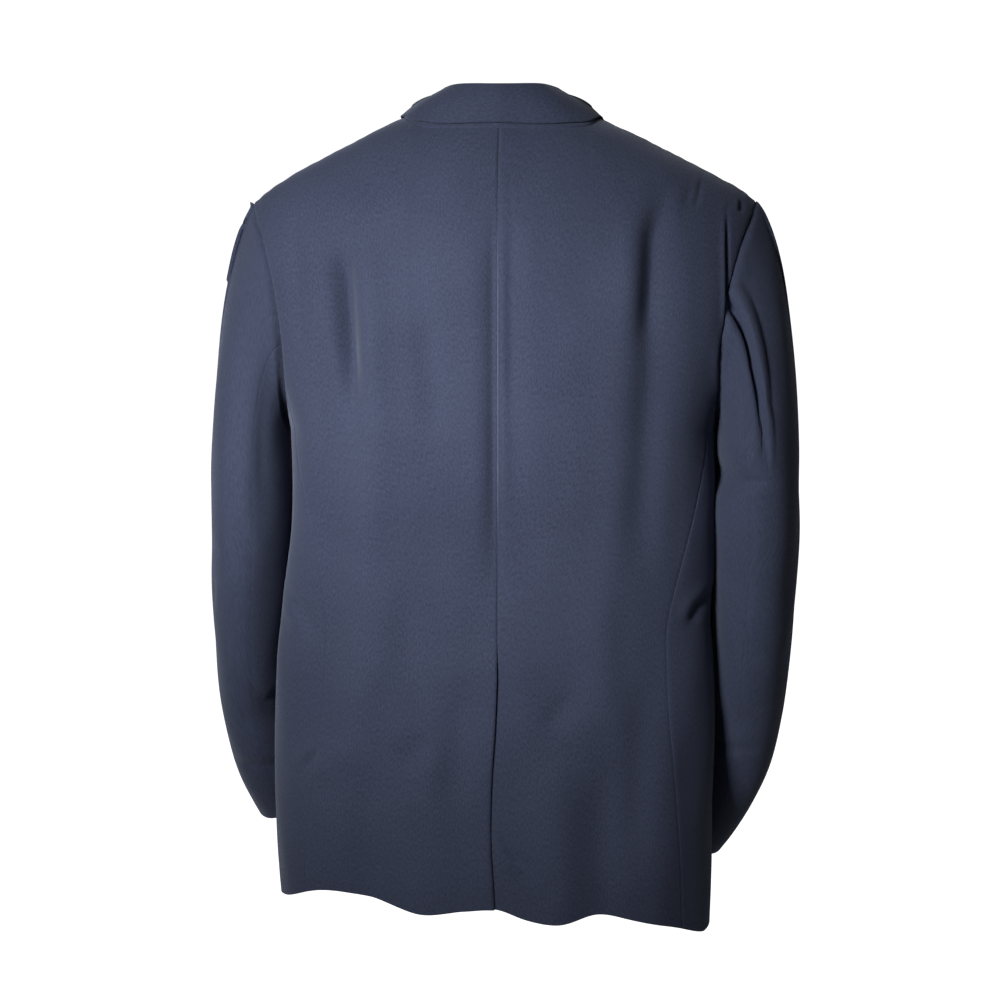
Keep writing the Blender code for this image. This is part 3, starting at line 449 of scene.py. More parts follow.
# grain: scale, detail, roughness, stretch; shade: scale, detail; how much the weave and the shade move the
# colour, and between which sums it runs; bump: height, strength, share of the grain
GRAIN_SCALE, GRAIN_DETAIL, GRAIN_ROUGHNESS, GRAIN_STRETCH = 620.0, 4.0, 0.65, (1.0, 0.45, 1.0)
SHADE_SCALE, SHADE_DETAIL = 9.0, 3.0
WEAVE_COLOUR, SHADE_COLOUR, COLOUR_ENDS = 0.10, 0.30, (0.22, 0.80)
BUMP_HEIGHT, BUMP_STRENGTH, GRAIN_BUMP = 0.00025, 0.35, 1.6

# Settings of the shaders, by the names of their sockets
WORSTED_FINISH = {
    "Roughness": 0.82,
    "Specular IOR Level": 0.22,
    "Sheen Weight": 0.22,
    "Sheen Roughness": 0.45,
    "Sheen Tint": (0.55, 0.62, 0.80, 1.0),
}
BACKDROP_FINISH = {
    "Base Color": (0.9, 0.9, 0.9, 1.0),
    "Roughness": 1.0,
    "Emission Color": (1.0, 1.0, 1.0, 1.0),
}
THREAD_FINISH = {"Roughness": 0.6}
COLLAR_TINT = 0.96
# button: scale and detail of its streaks, brightness of the lightest one, roughness and what the streaks add
STREAK_SCALE, STREAK_DETAIL, STREAK_LIGHT = 260.0, 3.0, 2.6
BUTTON_ROUGHNESS, STREAK_ROUGHNESS = 0.28, 0.2
# thread: scale of its twist, tone of the twist's shadow
TWIST_SCALE, TWIST_SHADOW = 900.0, 0.6

# Camera: turn from +Y towards -X and lift in degrees, distance, target, lens and sensor in millimetres
CAMERA_TURN, CAMERA_LIFT, SENSOR_WIDTH = 2.6, 8.0, 36.0
CAMERA_DISTANCE, CAMERA_TARGET, CAMERA_LENS = 1.8, (0.0020, 0.0, -0.3756), 63.47

# Backdrop: height of the floor, its reach before and behind the blazer, radius and steps of the sweep, height
# of the wall, half width
FLOOR_HEIGHT, FLOOR_NEAR, FLOOR_FAR, SWEEP, SWEEP_STEPS = -1.30, 6.0, 3.4, 1.5, 16
BACKDROP_TOP, BACKDROP_HALF = 4.5, 6.0
# What the backdrop and the world look like to the camera, and what they cast on the cloth
SEEN_GLOW, BACKDROP_GLOW, WORLD_LIGHT = 1.0, 0.06, 0.035
# Lights: name, place, target, size, spread in degrees, power, colour
LIGHTS = (
    ("key", (0.52, 1.18, 0.06), (0.04, 0.0, -0.30), (0.34, 0.34), 62.0, 3.6, (1.0, 0.99, 0.97)),
    ("front_fill", (-0.6, -2.2, 0.9), (0.0, 0.0, -0.35), (1.8, 1.6), 180.0, 14.0, (1.0, 1.0, 1.0)),
)


def column_at(rows, column, place):
    """One column of a table at any place along its first column, on a smooth curve through the rows."""
    table = np.array(sorted(rows))
    keys, values = table[:, 0], table[:, column]
    slopes = np.gradient(values, keys)
    i = np.clip(np.searchsorted(keys, place) - 1, 0, len(keys) - 2)
    span = keys[i + 1] - keys[i]
    t = np.clip((place - keys[i]) / span, 0.0, 1.0)
    return (
        (1 + 2 * t) * (1 - t) ** 2 * values[i]
        + t * (1 - t) ** 2 * span * slopes[i]
        + t * t * (3 - 2 * t) * values[i + 1]
        + t * t * (t - 1) * span * slopes[i + 1]
    )


def smooth_step(value):
    t = np.clip(value, 0.0, 1.0)
    return t * t * (3 - 2 * t)


def unit(vectors):
    return vectors / np.maximum(np.linalg.norm(vectors, axis=-1, keepdims=True), 1e-12)


def quarter_ring():
    """Girth, share across and share in depth along one quarter of the body's rounded ring."""
    angle = np.linspace(0.0, math.pi / 2, RING_POINTS)
    across = np.cos(angle) ** (2 / RING_SQUARENESS)
    deep = np.sin(angle) ** (2 / RING_SQUARENESS)
    across[-1] = 0.0
    length = np.hypot(np.diff(SHOULDER_HALF * across), np.diff(BODY_RINGS[0][3] * deep))
    girth = np.concatenate([[0.0], np.cumsum(length)])
    return girth / girth[-1], across, deep


GIRTH, ACROSS, DEEP = quarter_ring()


def girth_at(share_across):
    """Girth of a place by its share of the half width; a negative share lies past the centre."""
    share = np.abs(share_across)
    girth = np.interp(-share, -ACROSS, GIRTH)
    return np.where(np.asarray(share_across) < 0, 2 - girth, girth)


def level_of(rise):
    return 1 - np.sqrt(1 - rise)


def rise_of(level):
    return 1 - (1 - np.clip(level, 0.0, 1.0)) ** 2


def half_width(side, height, rise):
    at_height = column_at(BODY_RINGS, 1 if side == LEFT else 2, height)
    return at_height + (SHOULDER_HALF - at_height) * np.sin(rise * math.pi / 2)


def hem_height(side, across, back):
    """The hem's wave across the back, running level into the front."""
    at_side = HEM_LINE[0][1] if side == LEFT else HEM_LINE[-1][1]
    wave = column_at(HEM_LINE, 1, side * across * HEM_HALF)
    front = at_side + (FRONT_HEM - at_side) * (1 - np.abs(across))
    return np.where(back, wave, front)


def smooth_body(side, girth, level):
    """A place on the body before its folds."""
    girth, level = np.broadcast_arrays(np.asarray(girth, float), np.asarray(level, float))
    quarter = np.where(np.abs(girth) > 1, 2 - np.abs(girth), np.abs(girth))
    across = np.where(np.abs(girth) > 1, -1.0, 1.0) * np.interp(quarter, GIRTH, ACROSS)
    deep = np.sign(girth) * np.interp(quarter, GIRTH, DEEP)
    rise = rise_of(level)
    hem = hem_height(side, across, girth >= 0)
    low = CHEST_HEIGHT + np.maximum(-level, 0.0) * (hem - CHEST_HEIGHT)
    x = half_width(side, low, rise) * across
    ridge = column_at(SHOULDER_LINE, 1, np.abs(x))
    depth = np.where(girth >= 0, column_at(BODY_RINGS, 3, low), column_at(BODY_RINGS, 4, low))
    y = deep * depth * np.sqrt(1 - rise**SHOULDER_ROUNDING)
    z = low + rise * (ridge - CHEST_HEIGHT)
    return np.stack([side * x, y, z], axis=-1)


def surface_normals(surface, side, girth, level):
    """Outward normals of a surface that is given by a function of side, girth and level."""
    step = NORMAL_STEP
    level = np.minimum(level, 1 - step)
    along = surface(side, girth + step, level) - surface(side, girth - step, level)
    up = surface(side, girth, level + step * STEP_UP) - surface(side, girth, level - step)
    return unit(np.cross(along, up)) * side


def fold_rise(side, places, back):
    """How far the folds of the body stand out at each place."""
    x, z = side * places[..., 0], places[..., 2]
    total = np.zeros(x.shape)
    for fold_side, facing, top_x, low_x, top, low, width, rise in BODY_FOLDS:
        mirrored = 1.0 if fold_side == side else -1.0
        t = (top - z) / (top - low)
        middle = (top_x + (low_x - top_x) * t) * mirrored
        across = np.exp(-(((x - middle) / width) ** 2))
        ends = smooth_step(t / FOLD_HEAD) * smooth_step((1 - t) / FOLD_TAIL)
        total += np.where(back == (facing > 0), rise * across * ends, 0.0)
    return total


def lap_rise(side, places, back):
    """The left front stands out over the right one, and the left edge of the vent over the right edge."""
    x, z = side * places[..., 0], places[..., 2]
    front = LAP * smooth_step((LAP_START - x) / (LAP_START - LAP_FULL))
    open_share = smooth_step((VENT_TOP + VENT_EASE - z) / VENT_EASE)
    vent = VENT_LIFT * smooth_step((VENT_START - x) / (VENT_START - VENT_FULL)) * open_share
    if side == RIGHT:
        return np.zeros(x.shape)
    return np.where(back, vent, front)


def eased_normals(surface, side, girth, level):
    """Outward normals, led to one direction at the tip of the shoulder, where the surface is pinched."""
    girth, level = np.broadcast_arrays(np.asarray(girth, float), np.asarray(level, float))
    tip = np.exp(-((girth / TIP_GIRTH) ** 2) - ((1 - level) / TIP_LEVEL) ** 2)[..., None]
    return unit(surface_normals(surface, side, girth, level) * (1 - tip) + tip_way(side, True) * tip)


def tip_way(side, outward):
    """Directions at the tip of the shoulder: out of the cloth, or along it down the arm."""
    across, up = math.sin(TIP_SLOPE), math.cos(TIP_SLOPE)
    return np.array([side * across, 0.0, up] if outward else [side * up, 0.0, -across])


def crease_rise(across, up, creases):
    """How far the creases of a table stand out at places given by two coordinates in metres."""
    total = np.zeros(across.shape)
    for width, rise, ridge, points in creases:
        spans = list(zip(points, points[1:]))
        lengths = [math.hypot(b[0] - a[0], b[1] - a[1]) for a, b in spans]
        nearest = np.full(across.shape, np.inf)
        signed, share = np.zeros(across.shape), np.zeros(across.shape)
        done = 0.0
        for (a, b), length in zip(spans, lengths):
            way = ((b[0] - a[0]) / length, (b[1] - a[1]) / length)
            along = np.clip((across - a[0]) * way[0] + (up - a[1]) * way[1], 0.0, length)
            off = (across - a[0] - along * way[0], up - a[1] - along * way[1])
            distance = np.hypot(*off)
            closer = distance < nearest
            turned = np.where(off[0] * way[1] - off[1] * way[0] >= 0, -1.0, 1.0)
            signed = np.where(closer, turned * distance, signed)
            share = np.where(closer, (done + along) / sum(lengths), share)
            nearest = np.minimum(nearest, distance)
            done += length
        growing, fading = smooth_step(share / CREASE_FADE), smooth_step((1 - share) / CREASE_FADE)
        ends = CREASE_END + (1 - CREASE_END) * growing * fading
        trough = np.exp(-((nearest / width) ** 2))
        beside = np.exp(-(((np.abs(signed) - RIDGE_PLACE * width) / (RIDGE_WIDTH * width)) ** 2))
        same_side = np.sign(signed) == np.sign(ridge)
        total += rise * ends * (trough - abs(ridge) * np.where(same_side, beside, 0.0))
    return total


def cloth_waves(places):
    """Uneven waves of the whole cloth, the same on both sides of a seam."""
    total = np.zeros(places.shape[:-1])
    for length, height, seed in CLOTH_WAVES:
        source = np.random.default_rng(seed)
        for _ in range(WAVE_COUNT):
            way = unit(source.normal(size=3) * (1.0, 1.0, WAVE_UPRIGHT))
            step = length * source.uniform(*WAVE_SPREAD)
            total += height / WAVE_COUNT**0.5 * np.sin(
                2 * math.pi * (places @ way / step + source.uniform())
            )
    return total


def body(side, girth, level):
    """A place on the finished outer surface of the body, with its folds, creases and waves."""
    girth, level = np.broadcast_arrays(np.asarray(girth, float), np.asarray(level, float))
    places = smooth_body(side, girth, level)
    normals = eased_normals(smooth_body, side, girth, level)
    back = girth >= 0
    rise = fold_rise(side, places, back) + lap_rise(side, places, back) + cloth_waves(places)
    across, up = places[..., 0], places[..., 2]
    behind, before = crease_rise(across, up, BACK_CREASES), crease_rise(across, up, FRONT_CREASES)
    rise = rise + np.where(back, behind, before)
    return places + normals * rise[..., None]


def body_normals(side, girth, level):
    return eased_normals(body, side, girth, level)


def rise_at(x, z):
    """Rise of a place above the chest, by its distance from the centre and its height."""
    ridge = column_at(SHOULDER_LINE, 1, np.abs(x))
    return np.clip((z - CHEST_HEIGHT) / (ridge - CHEST_HEIGHT), 0.0, HIGHEST_RISE)


def front_place(side, x, z):
    """Girth and level of a place on the front, by its distance from the centre and its height."""
    rise = rise_at(x, z)
    across = x / half_width(side, np.minimum(z, CHEST_HEIGHT), rise)
    hem = hem_height(side, np.abs(across), False)
    level = np.where(z > CHEST_HEIGHT, level_of(rise), (CHEST_HEIGHT - z) / (hem - CHEST_HEIGHT))
    return -girth_at(across), level


def back_place(side, x, z):
    """Girth and level of a place on the back above the chest."""
    rise = rise_at(x, z)
    return girth_at(x / half_width(side, CHEST_HEIGHT, rise)), level_of(rise)


def armhole_girth(rise, back):
    turn = np.sqrt(np.maximum(1 - (2 * rise - 1) ** 2, 0.0))
    return ARMHOLE_BACK * turn if back else -ARMHOLE_FRONT * turn


def seam_girth(side, level, column):
    """Girth of a side seam on each level."""
    guess = np.full(np.shape(level), SIDE_SEAMS[0][column])
    for _ in range(SEAM_GUESSES):
        guess = column_at(SIDE_SEAMS, column, smooth_body(side, guess, level)[..., 2])
    return guess


def outer_edge(side, levels, seam_rise, column, back):
    """A back or front panel's outer edge: side seam, then armhole."""
    seam_level = float(level_of(seam_rise))
    low = seam_girth(side, np.minimum(levels, seam_level), column)
    return np.where(levels > seam_level + SMALL, armhole_girth(rise_of(levels), back), low)


def close_edges(count):
    """Shares from 0 to 1, set closer together near both ends."""
    even = np.linspace(0.0, 1.0, count + 1)
    return even * (1 - EDGE_CLOSENESS) + EDGE_CLOSENESS * (0.5 - 0.5 * np.cos(math.pi * even))


def panel_levels(seam_rise):
    """Levels of a panel's rows: from the hem to the side seam's top, then to the shoulder."""
    seam_level = float(level_of(seam_rise))
    low = -1 + (seam_level + 1) * close_edges(LOW_ROWS)
    high = seam_level + (1 - seam_level) * close_edges(HIGH_ROWS)
    return np.concatenate([low, high[1:]])


def lengths_along(grid, axis):
    """Length along each grid line from its start."""
    steps = np.linalg.norm(np.diff(grid, axis=axis), axis=-1)
    start = np.zeros_like(np.take(steps, [0], axis=axis))
    return np.cumsum(np.concatenate([start, steps], axis=axis), axis=axis)


EDGES = ("hem", "top", "first", "last")


def inset(grid, by, edges):
    """Draws the edges of a grid in."""
    grid = grid.copy()
    lines = {
        "hem": (np.s_[0], np.s_[1]),
        "top": (np.s_[-1], np.s_[-2]),
        "first": (np.s_[:, 0], np.s_[:, 1]),
        "last": (np.s_[:, -1], np.s_[:, -2]),
    }
    for edge in EDGES:
        if edge in edges:
            line, next_line = lines[edge]
            grid[line] += unit(grid[next_line] - grid[line]) * by
    return grid


def edge_lengths(grid):
    """Lengths of each place of a grid from each edge, and along that edge."""
    across, up = lengths_along(grid, 1), lengths_along(grid, 0)
    away = {"hem": up, "top": up[-1:] - up, "first": across, "last": across[:, -1:] - across}
    return away, {"hem": across, "top": across, "first": up, "last": up}


def seam_dip(grid, seams):
    """How far the cloth rolls down into the seams along some of its edges, with a little pucker."""
    distance, along = edge_lengths(grid)
    total = np.zeros(grid.shape[:2])
    for number, (edge, depth) in enumerate(seams.items()):
        away = distance[edge]
        total -= SEAM_DIP * depth * np.exp(-((away / SEAM_ROLL) ** 2))
        sway = PUCKER_SWAY * np.sin(along[edge] * PUCKER_SWAY_RATE + number)
        gathered = np.sin(2 * math.pi * along[edge] / PUCKER_LENGTH + sway)
        fading = np.exp(-away / PUCKER_REACH)
        total += SEAM_PUCKER * depth * gathered * fading * smooth_step(away / SEAM_ROLL)
    return total


def seam_share(grid, seams):
    """How far each place lies in a seam's turned-in edge, from 0 on the cloth to 1 on the seam."""
    away = edge_lengths(grid)[0]
    total = np.zeros(grid.shape[:2])
    for edge, depth in seams.items():
        total = np.maximum(total, depth * np.exp(-((away[edge] / SEAM_ROLL) ** 2)))
    return total


def rim_of(rows, columns):
    """Numbers of a grid's edge points, in order round it."""
    rim = list(range(columns - 1))
    rim += [i * columns + columns - 1 for i in range(rows - 1)]
    rim += [(rows - 1) * columns + j for j in range(columns - 1, 0, -1)]
    rim += [i * columns for i in range(rows - 1, 0, -1)]
    return rim


def shell_faces(rows, columns, flip):
    """Faces of a closed shell: outer grid, inner grid and a ring between them round the edge."""
    count = rows * columns
    i, j = np.meshgrid(np.arange(rows - 1), np.arange(columns - 1), indexing="ij")
    a = (i * columns + j).ravel()
    outer = np.stack([a, a + 1, a + columns + 1, a + columns], axis=1)
    inner = outer[:, ::-1] + count
    rim = np.array(rim_of(rows, columns))
    ahead = np.roll(rim, -1)
    middle = np.arange(len(rim)) + 2 * count
    next_middle = np.roll(middle, -1)
    upper = np.stack([ahead, rim, middle, next_middle], axis=1)
    lower = np.stack([next_middle, middle, rim + count, ahead + count], axis=1)
    faces = np.concatenate([outer, inner, upper, lower])
    return faces[:, ::-1] if flip else faces


def add_mesh(name, points, faces, material):
    mesh = bpy.data.meshes.new(name)
    mesh.from_pydata(points.tolist(), [], [[int(corner) for corner in face] for face in faces])
    mesh.update()
    mesh.materials.append(material)
    mesh.shade_smooth()
    made = bpy.data.objects.new(name, mesh)
    bpy.context.scene.collection.objects.link(made)
    return made


def add_shell(node, grid, normals, material, seams):
    """A panel of cloth as a thin closed shell with rolled edges; it replaces its node and rides with it."""
    rows, columns = grid.shape[:2]
    grid = grid + normals * seam_dip(grid, seams)[..., None]
    inner = grid - normals * (SHELL + SEAM_DEPTH * seam_share(grid, seams))[..., None]
    rim = rim_of(rows, columns)
    middle = (grid - normals * SHELL / 2).reshape(-1, 3)[rim]
    free = [edge for edge in EDGES if edge not in seams]
    outer, inner = inset(grid, EDGE_ROLL, free), inset(inner, EDGE_ROLL, free)
    turning = np.cross(grid[:-1, 1:] - grid[:-1, :-1], grid[1:, :-1] - grid[:-1, :-1])
    flip = bool((turning * normals[:-1, :-1]).sum() < 0)
    points = np.concatenate([outer.reshape(-1, 3), inner.reshape(-1, 3), middle])
    made = add_mesh("cloth_" + node, points, shell_faces(rows, columns, flip), material)
    flat = np.stack([lengths_along(grid, 1), lengths_along(grid, 0), np.zeros((rows, columns))], axis=-1)
    flat = flat.reshape(-1, 3)
    stored = made.data.attributes.new("cloth", "FLOAT_VECTOR", "POINT")
    stored.data.foreach_set("vector", np.concatenate([flat, flat, flat[rim]]).astype(np.float32).ravel())
    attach(made, "root")
    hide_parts(node)


def add_panel(node, side, girths, levels, material, seams):
    """A shell on the body, drawn in along its seams. A depth may be a table by the last edge's height."""
    grid = inset(body(side, girths, levels), SEAM_CLOSE, seams)
    for edge, depth in seams.items():
        if isinstance(depth, tuple):
            seams = {**seams, edge: column_at(depth, 1, grid[:, -1:, 2])}
    add_shell(node, grid, body_normals(side, girths, levels), material, seams)


def neck_rise(x):
    """Rise of the back neck seam at a distance from the centre."""
    return 1 - NECK_DIP * np.sqrt(np.maximum(1 - (np.abs(x) / NECK_HALF) ** 2, 0.0))


def vent_edge(side, levels):
    """Where the centre back edge lies, as a share of the half width from the centre; negative past it."""
    height = smooth_body(side, np.ones_like(levels), levels)[:, 2]
    if side == LEFT:
        return column_at(VENT_STAND_BACK, 1, height) / VENT_HALF
    return -smooth_step((VENT_TOP - height) / VENT_SHOULDER) * VENT_UNDERLAP / VENT_HALF


def front_girths(side, levels):
    """Girth of the front's free edge on each level."""
    x = column_at(FRONT_EDGE, 1, levels)
    height = np.minimum(smooth_body(side, -np.ones_like(levels), levels)[:, 2], CHEST_HEIGHT)
    return -girth_at(x / half_width(side, height, rise_of(levels)))


def back_panel(node, side, material):
    """From the side seam and armhole to the centre back, up to the shoulder and neck seams."""
    levels = panel_levels(SIDE_BACK_SEAM_RISE)
    edge = outer_edge(side, levels, SIDE_BACK_SEAM_RISE, 1, True)
    neck_x = NECK_HALF * np.cos(np.linspace(0.0, math.pi / 2, BACK_NECK + 1))
    neck_girths = girth_at(neck_x / SHOULDER_HALF)
    across = (1 - np.cos(np.linspace(0.0, math.pi / 2, BACK_OUTER + 1)))[:-1]
    even = np.linspace(0.0, 1.0, BACK_OUTER + 1)[:-1]
    across = EDGE_CLOSENESS * across + (1 - EDGE_CLOSENESS) * even
    outside = edge[:, None] + (neck_girths[0] - edge)[:, None] * across[None, :]
    girths = np.hstack([outside, np.repeat(neck_girths[None, :], len(levels), axis=0)])
    seam_level = float(level_of(SIDE_BACK_SEAM_RISE))
    top = np.concatenate([np.ones(len(across)), level_of(neck_rise(neck_x))])
    climb = np.clip((levels - seam_level) / (1 - seam_level), 0.0, 1.0)[:, None]
    above = seam_level + climb * (top[None, :] - seam_level)
    grid_levels = np.where(levels[:, None] > seam_level, above, levels[:, None])
    lap = girth_at(vent_edge(side, levels)) - 1
    girths = girths + lap[:, None] * smooth_step((girths - VENT_SPREAD) / (1 - VENT_SPREAD))
    seams = {"top": 1.0, "first": SIDE_SEAM_DEPTH, "last": CENTRE_SEAM_DEPTH}
    add_panel(node, side, girths, grid_levels, material, seams)


def side_panel(node, side, material):
    """Under the arm, from the front's seam to the back's."""
    shares = close_edges(SIDE_CELLS)
    top_girth = SIDE_SEAMS[0][2] + (SIDE_SEAMS[0][1] - SIDE_SEAMS[0][2]) * shares
    spread = np.where(top_girth >= 0, ARMHOLE_BACK, ARMHOLE_FRONT)
    top_level = level_of(0.5 - 0.5 * np.sqrt(1 - (top_girth / spread) ** 2))
    top_level[0], top_level[-1] = level_of(SIDE_FRONT_SEAM_RISE), level_of(SIDE_BACK_SEAM_RISE)
    climb = close_edges(LOW_ROWS)[:, None]
    levels = -1 + climb * (top_level[None, :] + 1)
    front_girth = seam_girth(side, levels[:, 0], 2)[:, None]
    back_girth = seam_girth(side, levels[:, -1], 1)[:, None]
    girths = front_girth + (back_girth - front_girth) * shares[None, :]
    girths[-1] = top_girth
    seams = {"top": 1.0, "first": SIDE_SEAM_DEPTH, "last": SIDE_SEAM_DEPTH}
    add_panel(node, side, girths, levels, material, seams)


def front_panel(node, side, material):
    """From the side seam and armhole to the roll line and the buttoned edge."""
    levels = panel_levels(SIDE_FRONT_SEAM_RISE)
    edge = outer_edge(side, levels, SIDE_FRONT_SEAM_RISE, 2, False)
    free = front_girths(side, levels)
    girths = edge[:, None] + (free - edge)[:, None] * close_edges(FRONT_CELLS)[None, :]
    grid_levels = np.repeat(levels[:, None], FRONT_CELLS + 1, axis=1)
    seams = {"top": 1.0, "first": FRONT_SEAM_DEPTH}
    add_panel(node, side, girths, grid_levels, material, seams)


def seam_turns():
    """Turns of the sleeve's hind and fore seams."""
    turns = []
    for seam_rise, back in ((SIDE_BACK_SEAM_RISE, True), (SIDE_FRONT_SEAM_RISE, False)):
        seam_level = float(level_of(seam_rise))
        rise = rise_of(seam_level + (1 - seam_level) / UPPER_ROWS)
        turn = math.acos(2 * rise - 1)
        turns.append(turn if back else 2 * math.pi - turn)
    return turns


def armhole_frame(side, turns):
    """Points of the armhole, the way into the hole along the cloth, and the body's normals there."""
    rise = 0.5 + 0.5 * np.cos(turns)
    spread = np.where(np.sin(turns) >= 0, ARMHOLE_BACK, ARMHOLE_FRONT)
    girth = spread * np.sin(turns)
    at_tip = turns % (2 * math.pi) < SMALL
    points = body(side, girth, np.where(at_tip, 1.0, level_of(rise)))
    normals = body_normals(side, girth, np.minimum(level_of(rise), ARMHOLE_TOP))
    ahead = np.roll(points, -1, axis=0) - np.roll(points, 1, axis=0)
    ahead[0] = ahead[-1] = points[1] - points[-2]
    inward = unit(np.cross(normals, unit(ahead)))
    middle = body(side, np.array(0.0), np.array(float(level_of(0.5))))
    inward *= np.sign((inward * (middle - points)).sum(axis=-1))[:, None]
    return points, inward, normals


def sleeve_ring(side, turns, place):
    """Points of one ring of the sleeve and its way down; place is 0 at the upper arm and 1 at the cuff."""
    table = LEFT_SLEEVE if side == LEFT else RIGHT_SLEEVE
    top, low = table[0][0], table[-1][0]

    def middle(share):
        height = top + (low - top) * share
        return np.array([side * column_at(table, 1, height), column_at(table, 2, height), height])

    height = top + (low - top) * place
    down = unit(middle(min(place + RING_STEP, 1.0)) - middle(max(place - RING_STEP, 0.0)))
    wide = unit(np.array([side, 0.0, 0.0]) - down * down[0] * side)
    deep = np.cross(down, wide)
    deep = deep * np.sign(deep[1])
    across, depth = np.cos(turns), np.sin(turns)
    across = np.sign(across) * np.abs(across) ** (2 / SLEEVE_SQUARENESS)
    depth = np.sign(depth) * np.abs(depth) ** (2 / SLEEVE_SQUARENESS)
    half, reach = column_at(table, 3, height), column_at(table, 4, height)
    ring = middle(place) + across[:, None] * half * wide + depth[:, None] * reach * deep
    return ring, down


def ring_normals(grid, side):
    """Outward normals of a sleeve's closed rings; the first column and the last are the same place."""
    around = np.empty_like(grid)
    around[:, 1:-1] = grid[:, 2:] - grid[:, :-2]
    around[:, 0] = around[:, -1] = grid[:, 1] - grid[:, -2]
    down = np.gradient(grid, axis=0)
    return unit(np.cross(down, around)) * side


def sleeve_grid(side, turns):
    """The whole sleeve, from the armhole to the cuff: one row for each ring, one column for each turn."""
    points, inward, normals = armhole_frame(side, turns)
    from_tip = (turns + math.pi) % (2 * math.pi) - math.pi
    tip = np.exp(-((from_tip / TIP_TURN) ** 4))[:, None]
    inward = unit(inward * (1 - tip) + tip_way(side, False) * tip)
    normals = unit(normals * (1 - tip) + tip_way(side, True) * tip)
    under = ((1 - np.cos(turns)) / 2) ** UNDERARM_POWER
    lift = (CAP_LIFT + (UNDERARM_LIFT - CAP_LIFT) * under)[:, None] * (1 - tip)
    way = np.cos(lift) * inward + np.sin(lift) * normals
    pull = (HEAD_PULL + (UNDERARM_PULL - HEAD_PULL) * under)[:, None]
    start = points + way * SEAM_CLOSE
    first, down = sleeve_ring(side, turns, 0.0)
    distance = np.linalg.norm(first - start, axis=-1)[:, None]
    rows = []
    for step in range(CAP_CELLS):
        t = (step / CAP_CELLS) ** HEAD_SPACING
        rows.append(
            (1 + 2 * t) * (1 - t) ** 2 * start
            + t * (1 - t) ** 2 * distance * pull * way
            + t * t * (3 - 2 * t) * first
            + t * t * (t - 1) * distance * ARM_PULL * down
        )
    shares = np.sin(np.linspace(0.0, math.pi / 2, SLEEVE_CELLS + 1)) * EDGE_CLOSENESS
    shares = shares + np.linspace(0.0, 1.0, SLEEVE_CELLS + 1) * (1 - EDGE_CLOSENESS)
    rows += [sleeve_ring(side, turns, share)[0] for share in shares]
    return np.array(rows)


def sleeve_rise(side, grid, turns):
    """How far the sleeve's folds, creases and waves stand out."""
    degrees = np.repeat(np.degrees(turns)[None, :], len(grid), axis=0)
    height = grid[..., 2]
    total = cloth_waves(grid)
    for fold_side, turn, at, turn_width, height_width, rise in SLEEVE_FOLDS + SLEEVE_SWELLINGS:
        if fold_side != side:
            continue
        away = (degrees - turn + 180) % 360 - 180
        total += rise * np.exp(-((away / turn_width) ** 2) - ((height - at) / height_width) ** 2)
    mine = []
    for crease_side, width, rise, ridge, points in SLEEVE_CREASES:
        if crease_side == side:
            mine.append((width, rise, ridge, [(turn * DEGREE_LENGTH, at) for turn, at in points]))
    start, full, fading, end = TUCK_TURNS
    window = smooth_step((degrees - start) / (full - start)) * smooth_step((end - degrees) / (end - fading))
    total -= HEAD_TUCK[side] * window * np.exp(-((lengths_along(grid, 0) / TUCK_LENGTH) ** 2))
    return total + crease_rise(degrees * DEGREE_LENGTH, height, mine)


def add_sleeve(name, side, material):
    """Two pieces: the top sleeve over the outside of the arm and the under sleeve along the body."""
    hind, fore = seam_turns()
    under = hind + (fore - hind) * close_edges(UNDER_CELLS)
    over = fore - 2 * math.pi + (hind + 2 * math.pi - fore) * close_edges(TOP_CELLS)
    turns = np.concatenate([under, over[1:] + 2 * math.pi])
    grid = sleeve_grid(side, turns)
    rise = sleeve_rise(side, grid, turns % (2 * math.pi))
    grid = grid + ring_normals(grid, side) * rise[..., None]
    normals = ring_normals(grid, side)
    pieces = (
        ("under_sleeve_", slice(0, UNDER_CELLS + 1)),
        ("top_sleeve_", slice(UNDER_CELLS, UNDER_CELLS + TOP_CELLS + 1)),
    )
    seams = {"hem": 1.0, "first": SLEEVE_SEAM_DEPTH, "last": SLEEVE_SEAM_DEPTH}
    for piece, columns in pieces:
        outer = inset(grid[:, columns], SEAM_CLOSE, ("first", "last"))
        add_shell(piece + name, outer, normals[:, columns], material, seams)


def gorge_level():
    """Level of the gorge, where the collar ends on the front's edge."""
    return 1 - (1 - float(level_of(SIDE_FRONT_SEAM_RISE))) * GORGE_ROW / UPPER_ROWS


